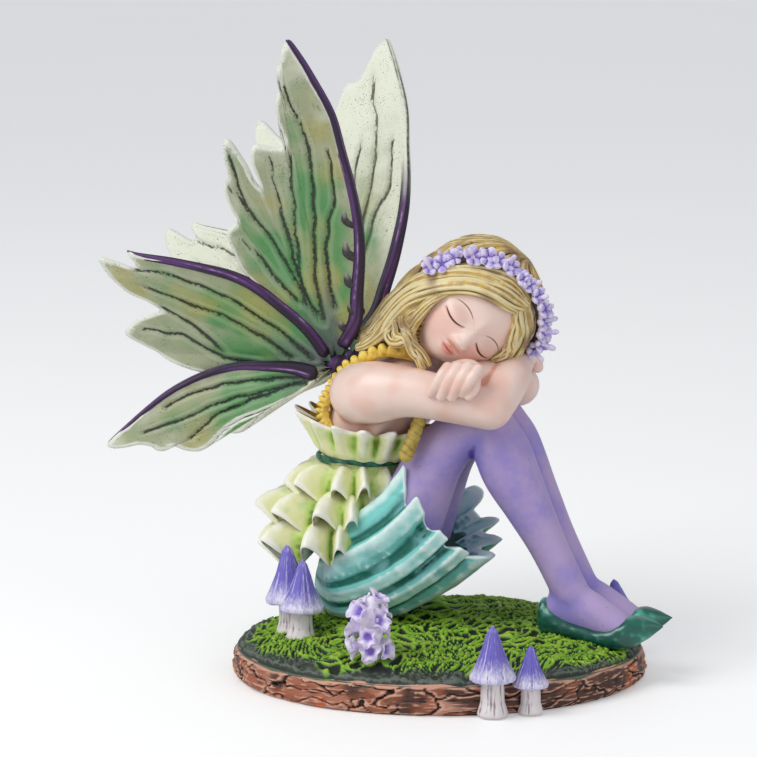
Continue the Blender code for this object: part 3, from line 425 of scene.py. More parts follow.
bark_paint, bark_shader, brush = new_paint("bark_paint", 0.5)
hollow = brush.mark("hollow")
tone = (brush.mark("lot") + brush.speckle(2.0) - 0.5).between(0.5, 1.05).mix(BARK_COPPER, BARK_PINK)
tone = (brush.speckle(5.0, 1.0) + brush.speckle(1.2) * 0.3).between(0.74, 0.84).mix(tone, BARK_ORANGE)
# Dark brown patches at random, deepened into painted shade towards +X by the "shade" mark.
tone = (brush.speckle(9.0, 1.0) + brush.mark("shade") * 0.2).between(0.50, 0.66).mix(tone, BARK_DARK)
tone = (hollow * -1.0 + brush.speckle(0.7) * 0.5).between(0.6, 1.3).mix(tone, srgb(208, 156, 132))
wash = (brush.mark("crack") * 0.8 + hollow + brush.speckle(0.9) * 0.4).between(0.5, 1.1)
lay_on(bark_shader, wash.mix(tone, CRACK_BLACK), brush.speckle(0.45, 3.0), 0.12)
bark_grid, bark_lot, bark_crack = bark_skin()
# Painted shade: the bark darkens from x = 2 mm to x = 24 mm, on the side away from the soft box.
bark_shade = np.clip((bark_grid[..., 0] - 2.0) / 22.0, 0.0, 1.0)
cast_skin("log_slice", bark_grid, bark_paint, {"lot": bark_lot, "crack": bark_crack, "shade": bark_shade},
    0.12, 8)

# Moss: a carpet cast on the slice, its fronds standing as a net of thin ridges round deep narrow pits.
# Painted lime green over black green, and rubbed away to dark stone grey at the margin.
MOSS_LIME = srgb(122, 172, 34)
MOSS_YELLOW = srgb(168, 196, 62)
MOSS_GREEN = srgb(58, 104, 26)
MOSS_PIT = srgb(12, 20, 8)
MOSS_STONE = srgb(92, 102, 92)


def moss_skin():
    """Carpet over the oval: a square grid rounded into a disc, ridged along the borders of patches."""
    side = 200
    line = np.linspace(-1.0, 1.0, side)
    u, v = np.meshgrid(line, line, indexing="ij")
    along, across = u * np.sqrt(1 - v * v / 2), v * np.sqrt(1 - u * u / 2)
    reach = np.hypot(along, across)
    x, y = (part * 0.972 for part in on_slice(along, across))
    flat = np.stack((x, y, np.zeros_like(x)), -1)
    lean = 0.9 * lumps(flat, 17.0, 11) + 0.35
    sway = lumps(flat, 4.0, 12) * 0.5 + lumps(flat, 1.5, 13) * 0.22
    row = x * np.cos(lean) + y * np.sin(lean)
    run = y * np.cos(lean) - x * np.sin(lean)
    first, second, lot = patches(row / 1.8 + sway, run / 3.4 + sway, 14)
    ridge = np.exp(-((second - first) / 0.19) ** 2)
    margin = np.clip((reach - 0.88 - 0.06 * lumps(flat, 6.0, 15)) / 0.10, 0.0, 1.0)
    height = moss_top(x, y) + (0.8 * ridge + 0.25 * lot) * (1 - 0.75 * margin) - 0.38
    height += margin * (0.45 * lumps(flat, 1.9, 16) + 0.25 * lumps(flat, 0.9, 17))
    height = np.where(reach > 0.985, np.minimum(height, BARK_HEIGHT - 0.2), height)
    return np.stack((x, y, height), -1), {"ridge": ridge * (0.75 + 0.5 * lot), "margin": margin}


def rim_of(rows, cols):
    """Points round the border of a grid, in order."""
    size = rows * cols
    return np.concatenate([
        np.arange(cols - 1), np.arange(rows - 1) * cols + cols - 1,
        size - 1 - np.arange(cols - 1), (rows - 1 - np.arange(rows - 1)) * cols])


moss_grid, moss_marks = moss_skin()
moss_rim = rim_of(*moss_grid.shape[:2])
moss_foot = moss_grid.reshape(-1, 3)[moss_rim] * (1.0, 1.0, 0.0) + (0.0, 0.0, BARK_HEIGHT - 1.6)
moss_size, rim_size = moss_grid.shape[0] * moss_grid.shape[1], len(moss_rim)
foot = moss_size + np.arange(rim_size)
moss_faces = [
    grid_faces(*moss_grid.shape[:2], False), foot[None, :],
    np.stack((np.roll(moss_rim, -1), moss_rim, foot, np.roll(foot, -1)), -1)]
moss_marks = {name: np.append(values, np.zeros(rim_size)) for name, values in moss_marks.items()}
moss = lay_mesh("moss", np.concatenate([moss_grid.reshape(-1, 3), moss_foot]), moss_faces, moss_marks)
mark_hollows(moss, 0.3, 5)
moss_paint, moss_shader, brush = new_paint("moss_paint", 0.55)
hollow = brush.mark("hollow")
margin = brush.mark("margin")
high = (brush.mark("ridge") - hollow * 0.6 + brush.speckle(0.8) * 0.4 - 0.2)
tone = high.between(0.05, 0.42).mix(MOSS_PIT, MOSS_GREEN)
tone = high.between(0.32, 0.78).mix(tone, MOSS_LIME)
tone = (high + brush.speckle(6.0, 1.0) - 0.5).between(0.95, 1.35).mix(tone, MOSS_YELLOW)
rock = (brush.speckle(1.3, 3.0) - hollow * 0.5).between(0.4, 0.75).mix(srgb(40, 50, 34), MOSS_STONE)
tone = (margin + brush.speckle(2.2) * 0.6 - 0.3).between(0.35, 0.8).mix(tone, rock)
lay_on(moss_shader, tone, brush.speckle(0.35, 3.0), 0.16)
fix(moss, moss_paint)

# Mushrooms: three stand in the moss and two are cast against the bark of the front edge.
# The caps are gathered like cloth; violet paint fades to a whitish rim, and the stems are streaked white.
CAP_VIOLET = srgb(112, 102, 192)
CAP_RIM = srgb(226, 220, 238)
STEM_WHITE = srgb(232, 224, 224)
STEM_SHADE = srgb(150, 132, 138)
MUSHROOMS = (
    (-28.6, -12.0, -0.9, 0.0, 18.6, 5.0, 2.5, 0.36),
    (-24.9, -16.4, 0.4, 0.2, 16.6, 4.6, 2.5, 0.36),
    (33.6, 22.6, -1.8, 0.6, 10.0, 3.9, 1.8, 0.25))
EDGE_MUSHROOMS = ((-77.0, 0.4, 18.2, 4.6, 2.5), (-66.5, 0.4, 13.7, 3.6, 2.1))


def axes_about(axis, hint):
    """The axis and two directions across it, all of length 1."""
    axis = unit(np.asarray(axis, float))
    across = unit(np.cross(axis, hint))
    return axis, across, np.cross(axis, across)


def swept(base, axes, rise, reach, angle):
    """Points `rise` along an axis from `base`, and `reach` out from it at an angle."""
    axis, across, over = axes
    place = base + axis * rise[..., None]
    return place + across * (reach * np.cos(angle))[..., None] + over * (reach * np.sin(angle))[..., None]


def revolve(foot, tip, shares, radii, cols, gather, seed):
    """Skin about the line from foot to tip: radii at shares of its length, gathered into uneven pleats."""
    axes = axes_about(tip - foot, (0.3, 1.0, 0.1))
    height = np.linalg.norm(tip - foot)
    angle = ring(cols)
    shares, radii = np.asarray(shares)[:, None], np.asarray(radii)[:, None]
    turn = joined(np.cos(angle) * 3, np.sin(angle) * 3, shares * 2.0 + seed)
    pleat = (0.45 * lumps(turn * (1.0, 1.0, 0.35), 0.6, seed)
        + 0.55 * lumps(turn * (1.0, 1.0, 0.5), 0.24, seed + 1))
    radius = radii * (1.0 + gather * pleat)
    return swept(foot, axes, shares * height, radius, angle), np.broadcast_to(shares, radius.shape), pleat


def stand_mushroom(name, foot, tip, cap_radius, stem_radius, rim, seed):
    """A cap that flares to its rim and turns in under it, and a stem that thickens to its foot."""
    rise = np.linspace(0.0, 1.0, 32)
    outer = cap_radius * np.interp(rise, (0.0, 0.06, 0.2, 0.45, 0.75, 0.92, 1.0),
        (0.98, 1.0, 0.82, 0.56, 0.33, 0.19, 0.015))
    shares = np.concatenate([[rim + 0.13, rim + 0.08, rim + 0.02, rim], rim + 0.005 + rise * (1 - rim)])
    radii = np.concatenate([[0.2, stem_radius * 0.9, cap_radius * 0.8, cap_radius * 0.93], outer])
    cap, height, pleat = revolve(foot, tip, shares, radii, 96, 0.095, seed)
    fade = np.clip((height - rim) / (1 - rim), 0.0, 1.0)
    cast_skin(name + "_cap", cap, cap_paint, {"fade": fade, "pleat": pleat}, 0.1, 4)
    shares = np.linspace(0.0, rim + 0.14, 18)
    radii = stem_radius * np.interp(shares / (rim + 0.14), (0.0, 0.06, 0.3, 0.75, 1.0),
        (1.15, 1.22, 0.95, 0.88, 0.95))
    stem, height, pleat = revolve(foot, tip, shares, radii, 44, 0.1, seed + 5)
    cast_skin(name + "_stem", stem, stem_paint, {"pleat": pleat}, 0.1, 4)


cap_paint, cap_shader, brush = new_paint("mushroom_cap_paint", 0.5)
hollow, fade, pleat = brush.mark("hollow"), brush.mark("fade"), brush.mark("pleat")
fine_line = brush.speckle(0.45, 2.0, (1.0, 1.0, 0.12))
streak = fade + pleat * 0.12 + (fine_line - 0.5) * 0.5
tone = streak.between(0.04, 0.42).mix(CAP_RIM, CAP_VIOLET)
tone = (pleat * 0.6 - hollow * 0.5 + fine_line).between(0.6, 1.1).mix(tone, srgb(190, 184, 228))
tone = (hollow - pleat * 0.4 - fine_line * 0.8 + 0.4).between(0.2, 0.9).mix(tone, srgb(66, 56, 146))
lay_on(cap_shader, tone, fine_line, 0.16)
stem_paint, stem_shader, brush = new_paint("mushroom_stem_paint", 0.55)
streak = brush.speckle(0.5, 2.0, (1.0, 1.0, 0.15))
shaded = (streak - brush.mark("pleat") * 0.3 + brush.mark("hollow") * 0.3).between(0.42, 0.85)
tone = shaded.mix(STEM_WHITE, STEM_SHADE)
lay_on(stem_shader, tone, streak, 0.12)
for index, (x, y, lean_x, lean_y, rise, cap_radius, stem_radius, rim) in enumerate(MUSHROOMS):
    foot = np.array((x, y, float(moss_top(np.array(x), np.array(y))) - 0.5))
    stand_mushroom(f"mushroom_{index}", foot, foot + (lean_x, lean_y, rise), cap_radius, stem_radius, rim,
        20 + index)
for index, (bearing, out, rise, cap_radius, stem_radius) in enumerate(EDGE_MUSHROOMS):
    foot = np.array((*oval(radians(bearing), 1.0), 0.3))
    foot += foot * (1.0, 1.0, 0.0) / np.hypot(*foot[:2]) * out
    stand_mushroom(f"edge_mushroom_{index}", foot, foot + (0.0, 0.0, rise), cap_radius, stem_radius, 0.40,
        40 + index)

# Flower spike: a clump of trumpet flowers on a knobbly stalk, cast with the moss near the front edge.
# White lilac outside, with violet brushed into each throat.
SPIKE_FOOT = (-5.2, -30.0)
BELL_RINGS = ((2.4, 4, 1.2, 0.0), (5.6, 5, 1.4, 0.15), (8.6, 4, 1.1, 0.5), (11.0, 2, 0.4, 1.6))
BELL_LENGTH = 3.1
BELL_RADIUS = 2.15
PETAL_LILAC = srgb(222, 208, 240)
PETAL_WHITE = srgb(240, 234, 246)
HEART_VIOLET = srgb(132, 98, 204)


def spline(stations, count):
    """Catmull-Rom curve through the stations, evenly shared between them, as `count` rows."""
    stations = np.asarray(stations, float)
    last = len(stations) - 1
    place = np.linspace(0.0, last, count)
    i = np.minimum(place.astype(int), last - 1)
    t = (place - i)[:, None]
    before, after = stations[np.maximum(i - 1, 0)], stations[np.minimum(i + 2, last)]
    a, b = stations[i], stations[i + 1]
    return 0.5 * (2 * a + (b - before) * t + (2 * before - 5 * a + 4 * b - after) * t ** 2
        + (3 * a - before - 3 * b + after) * t ** 3)


def tube(stations, rows, cols, flat=1.0, side=(0.0, 1.0, 0.0), round_rows=6, groove=None):
    """Limb along a spline through (x, y, z, radius), its ends rounded as half balls.

    `flat` widens it along `side`; `groove` is a function of the share of the length and the angle.
    """
    path = spline(stations, rows)
    centre, radius = path[:, :3], path[:, 3]
    tangent = unit(np.gradient(centre, axis=0))
    bow = np.linspace(pi / 2, 0.0, round_rows, endpoint=False)
    start = centre[0] - tangent[0] * (radius[0] * np.sin(bow))[:, None]
    end = centre[-1] + tangent[-1] * (radius[-1] * np.sin(bow[::-1]))[:, None]
    shrink = np.concatenate([np.maximum(np.cos(bow), 0.02), np.ones(rows),
        np.maximum(np.cos(bow[::-1]), 0.02)])
    share = np.concatenate([np.zeros(round_rows), np.linspace(0.0, 1.0, rows), np.ones(round_rows)])
    centre = np.concatenate([start, centre, end])
    radius = np.concatenate([np.full(round_rows, radius[0]), radius,
        np.full(round_rows, radius[-1])]) * shrink
    tangent = np.concatenate([np.repeat(tangent[:1], round_rows, 0), tangent,
        np.repeat(tangent[-1:], round_rows, 0)])
    wide = unit(np.asarray(side, float) - tangent * (tangent @ np.asarray(side, float))[:, None])
    over = np.cross(tangent, wide)
    angle = ring(cols)
    radius = radius[:, None] * np.ones_like(angle)
    if groove is not None:
        radius = radius * (1.0 + groove(share[:, None], angle))
    return (centre[:, None] + wide[:, None] * (radius * flat * np.cos(angle))[..., None]
        + over[:, None] * (radius * np.sin(angle))[..., None])


def bell(base, axis, spin, size):
    """Trumpet flower: a tube that flares to a five-lobed lip and turns back down into its throat."""
    along = np.array(
        (0.0, 0.1, 0.35, 0.6, 0.8, 0.93, 1.0, 0.97, 0.85, 0.62, 0.45, 0.4)) * BELL_LENGTH * size
    radius = np.array(
        (0.3, 0.42, 0.42, 0.55, 0.78, 0.95, 1.0, 0.9, 0.62, 0.34, 0.18, 0.02)) * BELL_RADIUS * size
    flare = np.array((0, 0, 0, 0.1, 0.5, 0.9, 1.0, 0.9, 0.5, 0.1, 0, 0))
    heart = np.array((0, 0, 0, 0, 0, 0, 0, 0.12, 0.6, 1.0, 1.0, 1.0))
    fine = np.linspace(0, 11, 26)
    along, radius, flare, heart = (
        np.interp(fine, np.arange(12), part)[:, None] for part in (along, radius, flare, heart))
    angle = ring(36)
    lobe = np.cos(5 * angle + spin + 0.8 * np.sin(angle + spin))
    reach = radius * (1.0 + 0.2 * flare * lobe + 0.1 * flare * np.sin(2 * angle + spin))
    rise = along + flare * size * (0.35 * np.sin(2 * angle + 3.0 * spin) - 0.3 * np.maximum(lobe, 0.0))
    skin = swept(base, axes_about(axis, (0.2, 0.3, 1.0)), rise, reach, angle)
    return skin, np.broadcast_to(heart, reach.shape)


def closed_faces(skin):
    """Faces of a closed skin, turned so that the volume inside it counts as positive."""
    faces = lathe_faces(*skin.shape[:2])
    points = skin.reshape(-1, 3)
    a, b, c, d = (points - points.mean(0))[faces[0]].transpose(1, 0, 2)
    volume = (a * np.cross(b, c)).sum() + (a * np.cross(c, d)).sum()
    return faces if volume > 0 else [part[:, ::-1] for part in faces]


def gather_skins(name, skins, marks=None):
    """One mesh of several closed skins, each a grid closed round its columns."""
    faces, start = [], 0
    for skin in skins:
        faces += [part + start for part in closed_faces(skin)]
        start += skin.shape[0] * skin.shape[1]
    return lay_mesh(name, np.concatenate([skin.reshape(-1, 3) for skin in skins]), faces, marks)


petal_paint, petal_shader, brush = new_paint("lilac_petal_paint", 0.5)
hollow = brush.mark("hollow")
tone = (brush.speckle(1.6) - hollow * 0.5).between(0.35, 0.8).mix(PETAL_LILAC, PETAL_WHITE)
tone = (hollow + brush.speckle(1.0) * 0.3).between(0.4, 1.2).mix(tone, srgb(160, 138, 200))
tone = (brush.mark("heart") + brush.speckle(0.8) * 0.5 - 0.25).between(0.5, 1.15).mix(tone, HEART_VIOLET)
lay_on(petal_shader, tone, brush.speckle(0.4), 0.05)
spike_ground = float(moss_top(*map(np.array, SPIKE_FOOT)))
spike_skins, spike_hearts = [], []
for level, (rise, bells, reach, tilt) in enumerate(BELL_RINGS):
    for index in range(bells):
        turn = 2 * pi * index / bells + level * 2.5 - 1.3 + 0.5 * sin(5.0 * index + level)
        out = np.array((cos(turn), sin(turn), tilt))
        base = np.array((*SPIKE_FOOT, spike_ground + rise + 0.9 * sin(3.0 * index + level)))
        base = base + out * (1.0, 1.0, 0.0) * reach
        skin, heart = bell(base, out, index + level, 0.9 + 0.22 * sin(7.0 * index + level))
        spike_skins.append(skin)
        spike_hearts.append(heart.ravel())
x, y = SPIKE_FOOT
stalk = tube([(x, y, spike_ground + rise, radius)
    for rise, radius in ((-1.0, 2.0), (3.0, 2.1), (8.0, 2.4), (11.5, 1.7))], 32, 36)
stalk = roughen(stalk, (x, y, spike_ground + 5.0), (0.35, 1.1, 60))
spike_skins.append(stalk)
spike_hearts.append(np.zeros(stalk.shape[0] * stalk.shape[1]))
spike = gather_skins("flower_spike", spike_skins, {"heart": np.concatenate(spike_hearts)})
mark_hollows(spike, 0.12, 4)
fix(spike, petal_paint)

# Legs: both are cast together, knees up and pressed side by side, in lavender tights.
# The paint is rubbed pinker on the shins, and the creases are darkened deep violet as painted shade.
FIGURE_Y = 4.5
HIP = np.array((-10.0, 23.0))
ANKLE = np.array((27.5, 20.0))
THIGH_LENGTH = 36.0
SHIN_LENGTH = 36.2
FOOT_Y = 4.2
HEEL = ANKLE - (6.4, 9.3)
FOOT_STATIONS = np.array((
    (1.4, 4.2, 0.0, 0.0), (2.9, 4.6, 3.5, 2.6), (7.0, 5.2, 5.2, 3.4), (11.5, 4.1, 4.9, 3.6),
    (16.0, 2.2, 4.0, 3.6),
    (20.0, 0.9, 2.6, 2.9), (23.0, 1.2, 0.0, 0.0))) + (*HEEL, 0.0, 0.0)
TIGHTS_LAVENDER = srgb(146, 132, 206)
TIGHTS_PINK = srgb(182, 160, 204)
TIGHTS_CREASE_SHADE = srgb(84, 70, 160)
hip_to_ankle = ANKLE - HIP
leg_reach = float(np.hypot(*hip_to_ankle))
leg_along = (THIGH_LENGTH ** 2 - SHIN_LENGTH ** 2 + leg_reach ** 2) / (2 * leg_reach)
leg_rise = (THIGH_LENGTH ** 2 - leg_along ** 2) ** 0.5
leg_way = hip_to_ankle / leg_reach
KNEE = HIP + leg_way * leg_along + np.array((-leg_way[1], leg_way[0])) * leg_rise


def link(start, end, start_y, end_y, profile):
    """Stations of a leg link from (share of its length, bow to the left of it, radius)."""
    line = end - start
    left = np.array((-line[1], line[0])) / np.hypot(*line)
    share, bow, radius = np.array(profile).T
    place = start + line * share[:, None] + left * bow[:, None]
    return np.stack((place[:, 0], start_y + (end_y - start_y) * share, place[:, 1], radius), -1)


def fuse(name, skins, voxel, rounds):
    """One skin over overlapping ones, as in a casting: wrapped in a lattice `voxel` mm fine, then relaxed."""
    rough = gather_skins(name + "_rough", skins)
    wrap = rough.modifiers.new("wrap", "REMESH")
    wrap.mode = "VOXEL"
    wrap.voxel_size = voxel * MM
    wrapped = bpy.data.meshes.new_from_object(rough.evaluated_get(bpy.context.evaluated_depsgraph_get()))
    bpy.data.objects.remove(rough, do_unlink=True)
    made = bpy.data.objects.new(name, wrapped)
    wrapped.name = name
    bpy.context.scene.collection.objects.link(made)
    points, edges, normals = mesh_points(made)
    move_points(made, relax(points, edges, rounds))
    wrapped.polygons.foreach_set("use_smooth", np.ones(len(wrapped.polygons), bool))
    return made


def move_points(made, points):
    """Set the points of a mesh, given in millimetres."""
    made.data.vertices.foreach_set("co", (points * MM).astype(np.float32).ravel())
    made.data.update()


def lying_skin(stations, y, rows, cols, square=2.0):
    """Skin over upright ovals along X; a station is (x, middle height, half height, half width)."""
    x, z, tall, wide = spline(stations, rows).T
    tall, wide = np.maximum(tall, 0.03), np.maximum(wide, 0.03)
    angle = ring(cols)
    c, s = np.cos(angle), np.sin(angle)
    c, s = np.sign(c) * np.abs(c) ** (2 / square), np.sign(s) * np.abs(s) ** (2 / square)
    return joined(x[:, None], y + wide[:, None] * c, z[:, None] + tall[:, None] * s)


leg_skins = []
for side in (-1, 1):
    hip_y, knee_y, foot_y = (FIGURE_Y + side * half_gap for half_gap in (5.6, 5.0, FOOT_Y))
    ahead = np.array((-side * 0.35, 0.0))
    leg_skins.append(tube(link(HIP, KNEE + ahead, hip_y, knee_y, (
        (0.0, 0.0, 7.8), (0.35, 3.3, 7.0), (0.65, 5.5, 6.0), (0.87, 4.4, 5.3), (1.0, 0.4, 5.2))), 60, 64))
    leg_skins.append(tube(link(KNEE + ahead, ANKLE + ahead * 0.5, knee_y, foot_y, (
        (0.0, 0.0, 5.2), (0.12, 0.0, 5.9), (0.28, -0.4, 5.9), (0.5, -0.2, 4.9), (0.75, 0.0, 4.0),
        (1.05, 0.0, 3.8))), 70, 64))
    leg_skins.append(lying_skin(FOOT_STATIONS, foot_y, 60, 48))
tights = fuse("tights", leg_skins, 0.54, 5)
mark_hollows(tights, 0.16, 14)
tights_paint, tights_shader, brush = new_paint("tights_paint", 0.46)
hollow = brush.mark("hollow")
cloud = brush.speckle(11.0, 2.0) * 0.8 + brush.speckle(1.4, 3.0) * 0.2 - hollow * 0.2
tone = cloud.between(0.36, 0.72).mix(TIGHTS_LAVENDER, TIGHTS_PINK)
# Painted shade: deep violet in the creases.
tone = (hollow + brush.speckle(3.0) * 0.2).between(0.35, 1.0).mix(tone, TIGHTS_CREASE_SHADE)
tone = brush.speckle(0.5, 1.0).between(0.765, 0.8).mix(tone, srgb(96, 84, 150))
lay_on(tights_shader, tone, brush.speckle(0.5, 3.0), 0.035)
fix(tights, tights_paint)

# Shoes: pointed slippers cut low at the side, moulded with the feet.
# Bottle green under a pearl glaze, its sheen painted into the colour as pale streaks.
SHOE_STATIONS = np.array((
    (-0.1, 2.4, 0.0, 0.0), (0.9, 2.9, 3.4, 2.5), (3.0, 2.5, 3.6, 3.4), (6.0, 1.2, 2.7, 3.9),
    (10.5, 0.1, 2.1, 4.15),
    (14.8, -0.5, 2.3, 4.3), (18.0, 0.1, 3.1, 4.25), (20.3, 0.8, 3.3, 3.6), (23.6, 1.6, 2.1, 2.0),
    (26.8, 2.3, 0.0, 0.0))) + (*HEEL, 0.0, 0.0)
SHOE_DARK = srgb(8, 66, 60)
SHOE_GREEN = srgb(22, 120, 98)
SHOE_PEARL_SHEEN = srgb(96, 190, 168)
shoe_paint, shoe_shader, brush = new_paint("pearl_green_paint", 0.3, 0.6)
streak = brush.speckle(5.5, 2.0, (0.3, 1.0, 1.4))
tone = streak.between(0.2, 0.8).mix(SHOE_DARK, SHOE_GREEN)
# Painted sheen: pale pearl streaks where the glaze would catch the light.
tone = (streak - brush.mark("hollow") * 0.3).between(0.62, 1.0).mix(tone, SHOE_PEARL_SHEEN)
tone = brush.mark("hollow").between(0.35, 1.0).mix(tone, srgb(4, 34, 34))
shoe_shader.inputs["Metallic"].default_value = 0.25
lay_on(shoe_shader, tone, streak, 0.15)
for side, name in ((-1, "right_shoe"), (1, "left_shoe")):
    shoe = lying_skin(SHOE_STATIONS, FIGURE_Y + side * FOOT_Y, 88, 60, 2.3)
    shoe = shoe + joined(0.0, 0.12 * lumps(shoe, 1.3, 70), 0.14 * lumps(shoe, 1.7, 71))
    cast_skin(name, shoe, shoe_paint, None, 0.06, 6)

# Overskirt: a bag of stiff cloth about the hips, drawn in behind and opening in scallops round the thighs.
# Aqua, brushed nearly white on the pleats and washed dark teal between them.
SKIRT_AQUA = srgb(122, 204, 198)
SKIRT_LIGHT = srgb(206, 238, 234)
SKIRT_TEAL = srgb(18, 108, 94)
SKIRT_FOLDS = 11


def boxed(part):
    """Sine or cosine raised to 0.8, which squares an oval a little."""
    return np.sign(part) * np.abs(part) ** 0.8


def overskirt_skin():
    """Ovals leaning forward from the seat to the hem, with uneven flutes that swell at the hem."""
    rows, cols, back = 88, 364, 12
    x, z, tilt, tall, wide, fold = spline((
        (-26.6, 20.2, -14.0, 5.0, 6.4, 0.05), (-21.5, 20.6, 0.0, 11.0, 12.8, 0.35),
        (-13.5, 23.6, 14.0, 12.2, 14.0, 0.75),
        (-5.8, 28.4, 29.0, 12.0, 14.5, 1.0), (0.6, 34.3, 42.0, 12.1, 14.3, 1.5)), rows).T
    inner = np.linspace(0.0, 1.0, back) ** 0.8
    x, z = np.append(x, x[-1] - 0.1 - inner * 5.0), np.append(z, z[-1] - 0.15 - inner * 4.4)
    tilt, fold = np.append(tilt, np.full(back, tilt[-1])), np.append(fold, fold[-1] * (1.0 - 0.3 * inner))
    tall = np.append(tall, tall[-1] - 0.8 - inner * 2.2)
    wide = np.append(wide, wide[-1] - 0.8 - inner * 2.2)
    share = np.append(np.linspace(0.0, 1.0, rows), np.ones(back))[:, None]
    x, z, tall, wide, fold = (part[:, None] for part in (x, z, tall, wide, fold))
    lean = np.radians(tilt)[:, None]
    angle = ring(cols)
    phase = (SKIRT_FOLDS * angle + 0.9 * np.sin(2 * angle) + 0.8 * np.sin(3 * angle + 2.0)
        + 1.3 * (1.0 - share) * np.sin(angle + 1.0))
    uneven = 1.0 + 0.3 * np.sin(3 * angle + 0.6) + 0.2 * np.sin(7 * angle)
    flute = np.clip(
        0.5 + 0.44 * np.cos(phase) + 0.14 * np.cos(2 * phase + 1.2 + 2.0 * np.sin(angle + 4.0)), 0.0, 1.1)
    depth = fold * uneven * (1.9 * flute - 0.45)
    pinch = 0.2 * np.clip(share - 0.3, 0, 1) * np.sin(2 * phase) / SKIRT_FOLDS * fold
    upward = (tall + depth) * boxed(np.sin(angle + pinch))
    outward_reach = (wide + depth) * boxed(np.cos(angle + pinch))
    hem = uneven * (4.0 * flute - 2.0) * share ** 4
    forward, rise = hem * np.cos(lean) - upward * np.sin(lean), upward * np.cos(lean) + hem * np.sin(lean)
    place = joined(x + forward, FIGURE_Y + outward_reach, z + rise)
    wave, hem = (np.broadcast_to(value, upward.shape) for value in (2.0 * flute - 1.0, share ** 14))
    return place, wave, hem


skirt_paint, skirt_shader, brush = new_paint("overskirt_paint", 0.48)
hollow, edge = brush.mark("hollow"), brush.mark("edge")
rise = brush.mark("wave") * 0.6 - hollow * 0.35 + brush.speckle(2.6, 3.0) * 0.24 - 0.12
tone = rise.between(-0.62, -0.16).mix(SKIRT_TEAL, SKIRT_AQUA)
tone = rise.between(0.1, 0.62).mix(tone, SKIRT_LIGHT)
tone = (brush.speckle(7.0, 2.0) - brush.mark("wave") * 0.1).between(0.5, 0.72).mix(tone,
    srgb(112, 176, 176))
tone = (edge * -1.0 + brush.mark("rim") * 0.5 + brush.speckle(0.9) * 0.4).between(0.5, 1.1).mix(tone,
    srgb(222, 242, 238))
tone = (hollow + edge * 0.4 + brush.speckle(1.0) * 0.3).between(0.9, 1.5).mix(tone, srgb(10, 70, 64))
lay_on(skirt_shader, tone, brush.speckle(0.8, 4.0), 0.08)
skirt_grid, skirt_wave, skirt_rim = overskirt_skin()
skirt_grid = roughen(skirt_grid, (-8.0, FIGURE_Y, 26.0), (0.25, 2.6, 80), (0.08, 0.9, 81))
overskirt = cast_skin("overskirt", skirt_grid, skirt_paint, {"wave": skirt_wave, "rim": skirt_rim}, 0.3, 24)
mark_hollows(overskirt, 0.06, 4, "edge")

# Ruffles: three tiers hang behind the waist, and a frill stands up from the belt with a gold lining.
# Cream yellow cloth, white at the edges, with leaf green and a little brown washed into the folds.
WAIST = np.array((-18.3, 44.6))
TIER_FOLDS = 12
RUFFLE_CREAM = srgb(232, 232, 178)
RUFFLE_WHITE = srgb(246, 244, 230)
RUFFLE_LIME = srgb(176, 206, 88)
RUFFLE_GREEN = srgb(88, 132, 40)
LINING_GOLD = srgb(214, 164, 44)


def ruffle_skin(x, z, rear, front, wide, depth, lift, slope, folds, shift, pinch, cols=276):
    """Egg-shaped rings about the waist, one to a row of each list, waved by `folds`.

    `depth` waves a ring outwards, `lift` upwards, `slope` tilts it, and `pinch` closes the folds like pleats.
    """
    x, z, rear, front, wide, depth, lift, pinch = (
        np.asarray(part, float)[:, None] for part in (x, z, rear, front, wide, depth, lift, pinch))
    angle = ring(cols)
    phase = folds * angle + shift + 0.5 * np.sin(2 * angle + shift) + 0.3 * np.sin(5 * angle)
    uneven = 1.0 + 0.3 * np.sin(3 * angle + z[-1]) + 0.25 * np.sin(7 * angle + 5.0 * shift)
    wave = np.cos(phase) + 0.12 * np.cos(2 * phase + 1.0)
    turned = angle + pinch * np.sin(2 * phase) / folds
    long_side = np.where(np.cos(turned) > 0, front, rear) + depth * wave * uneven
    wide_side = wide + depth * wave * uneven
    forward = long_side * np.cos(turned)
    place = joined(x + forward, FIGURE_Y + wide_side * np.sin(turned),
        z + lift * wave * uneven + slope * forward)
    return place, np.broadcast_to(wave, forward.shape)


def cast_ruffle(name, grid, row_marks, wave):
    """A ruffle as a painted piece; `row_marks` holds one value for each of its rings."""
    marks = {mark: np.broadcast_to(values[:, None], wave.shape) for mark, values in row_marks.items()}
    cast_skin(name, grid, ruffle_paint, {"wave": wave, **marks}, 0.25, 24)


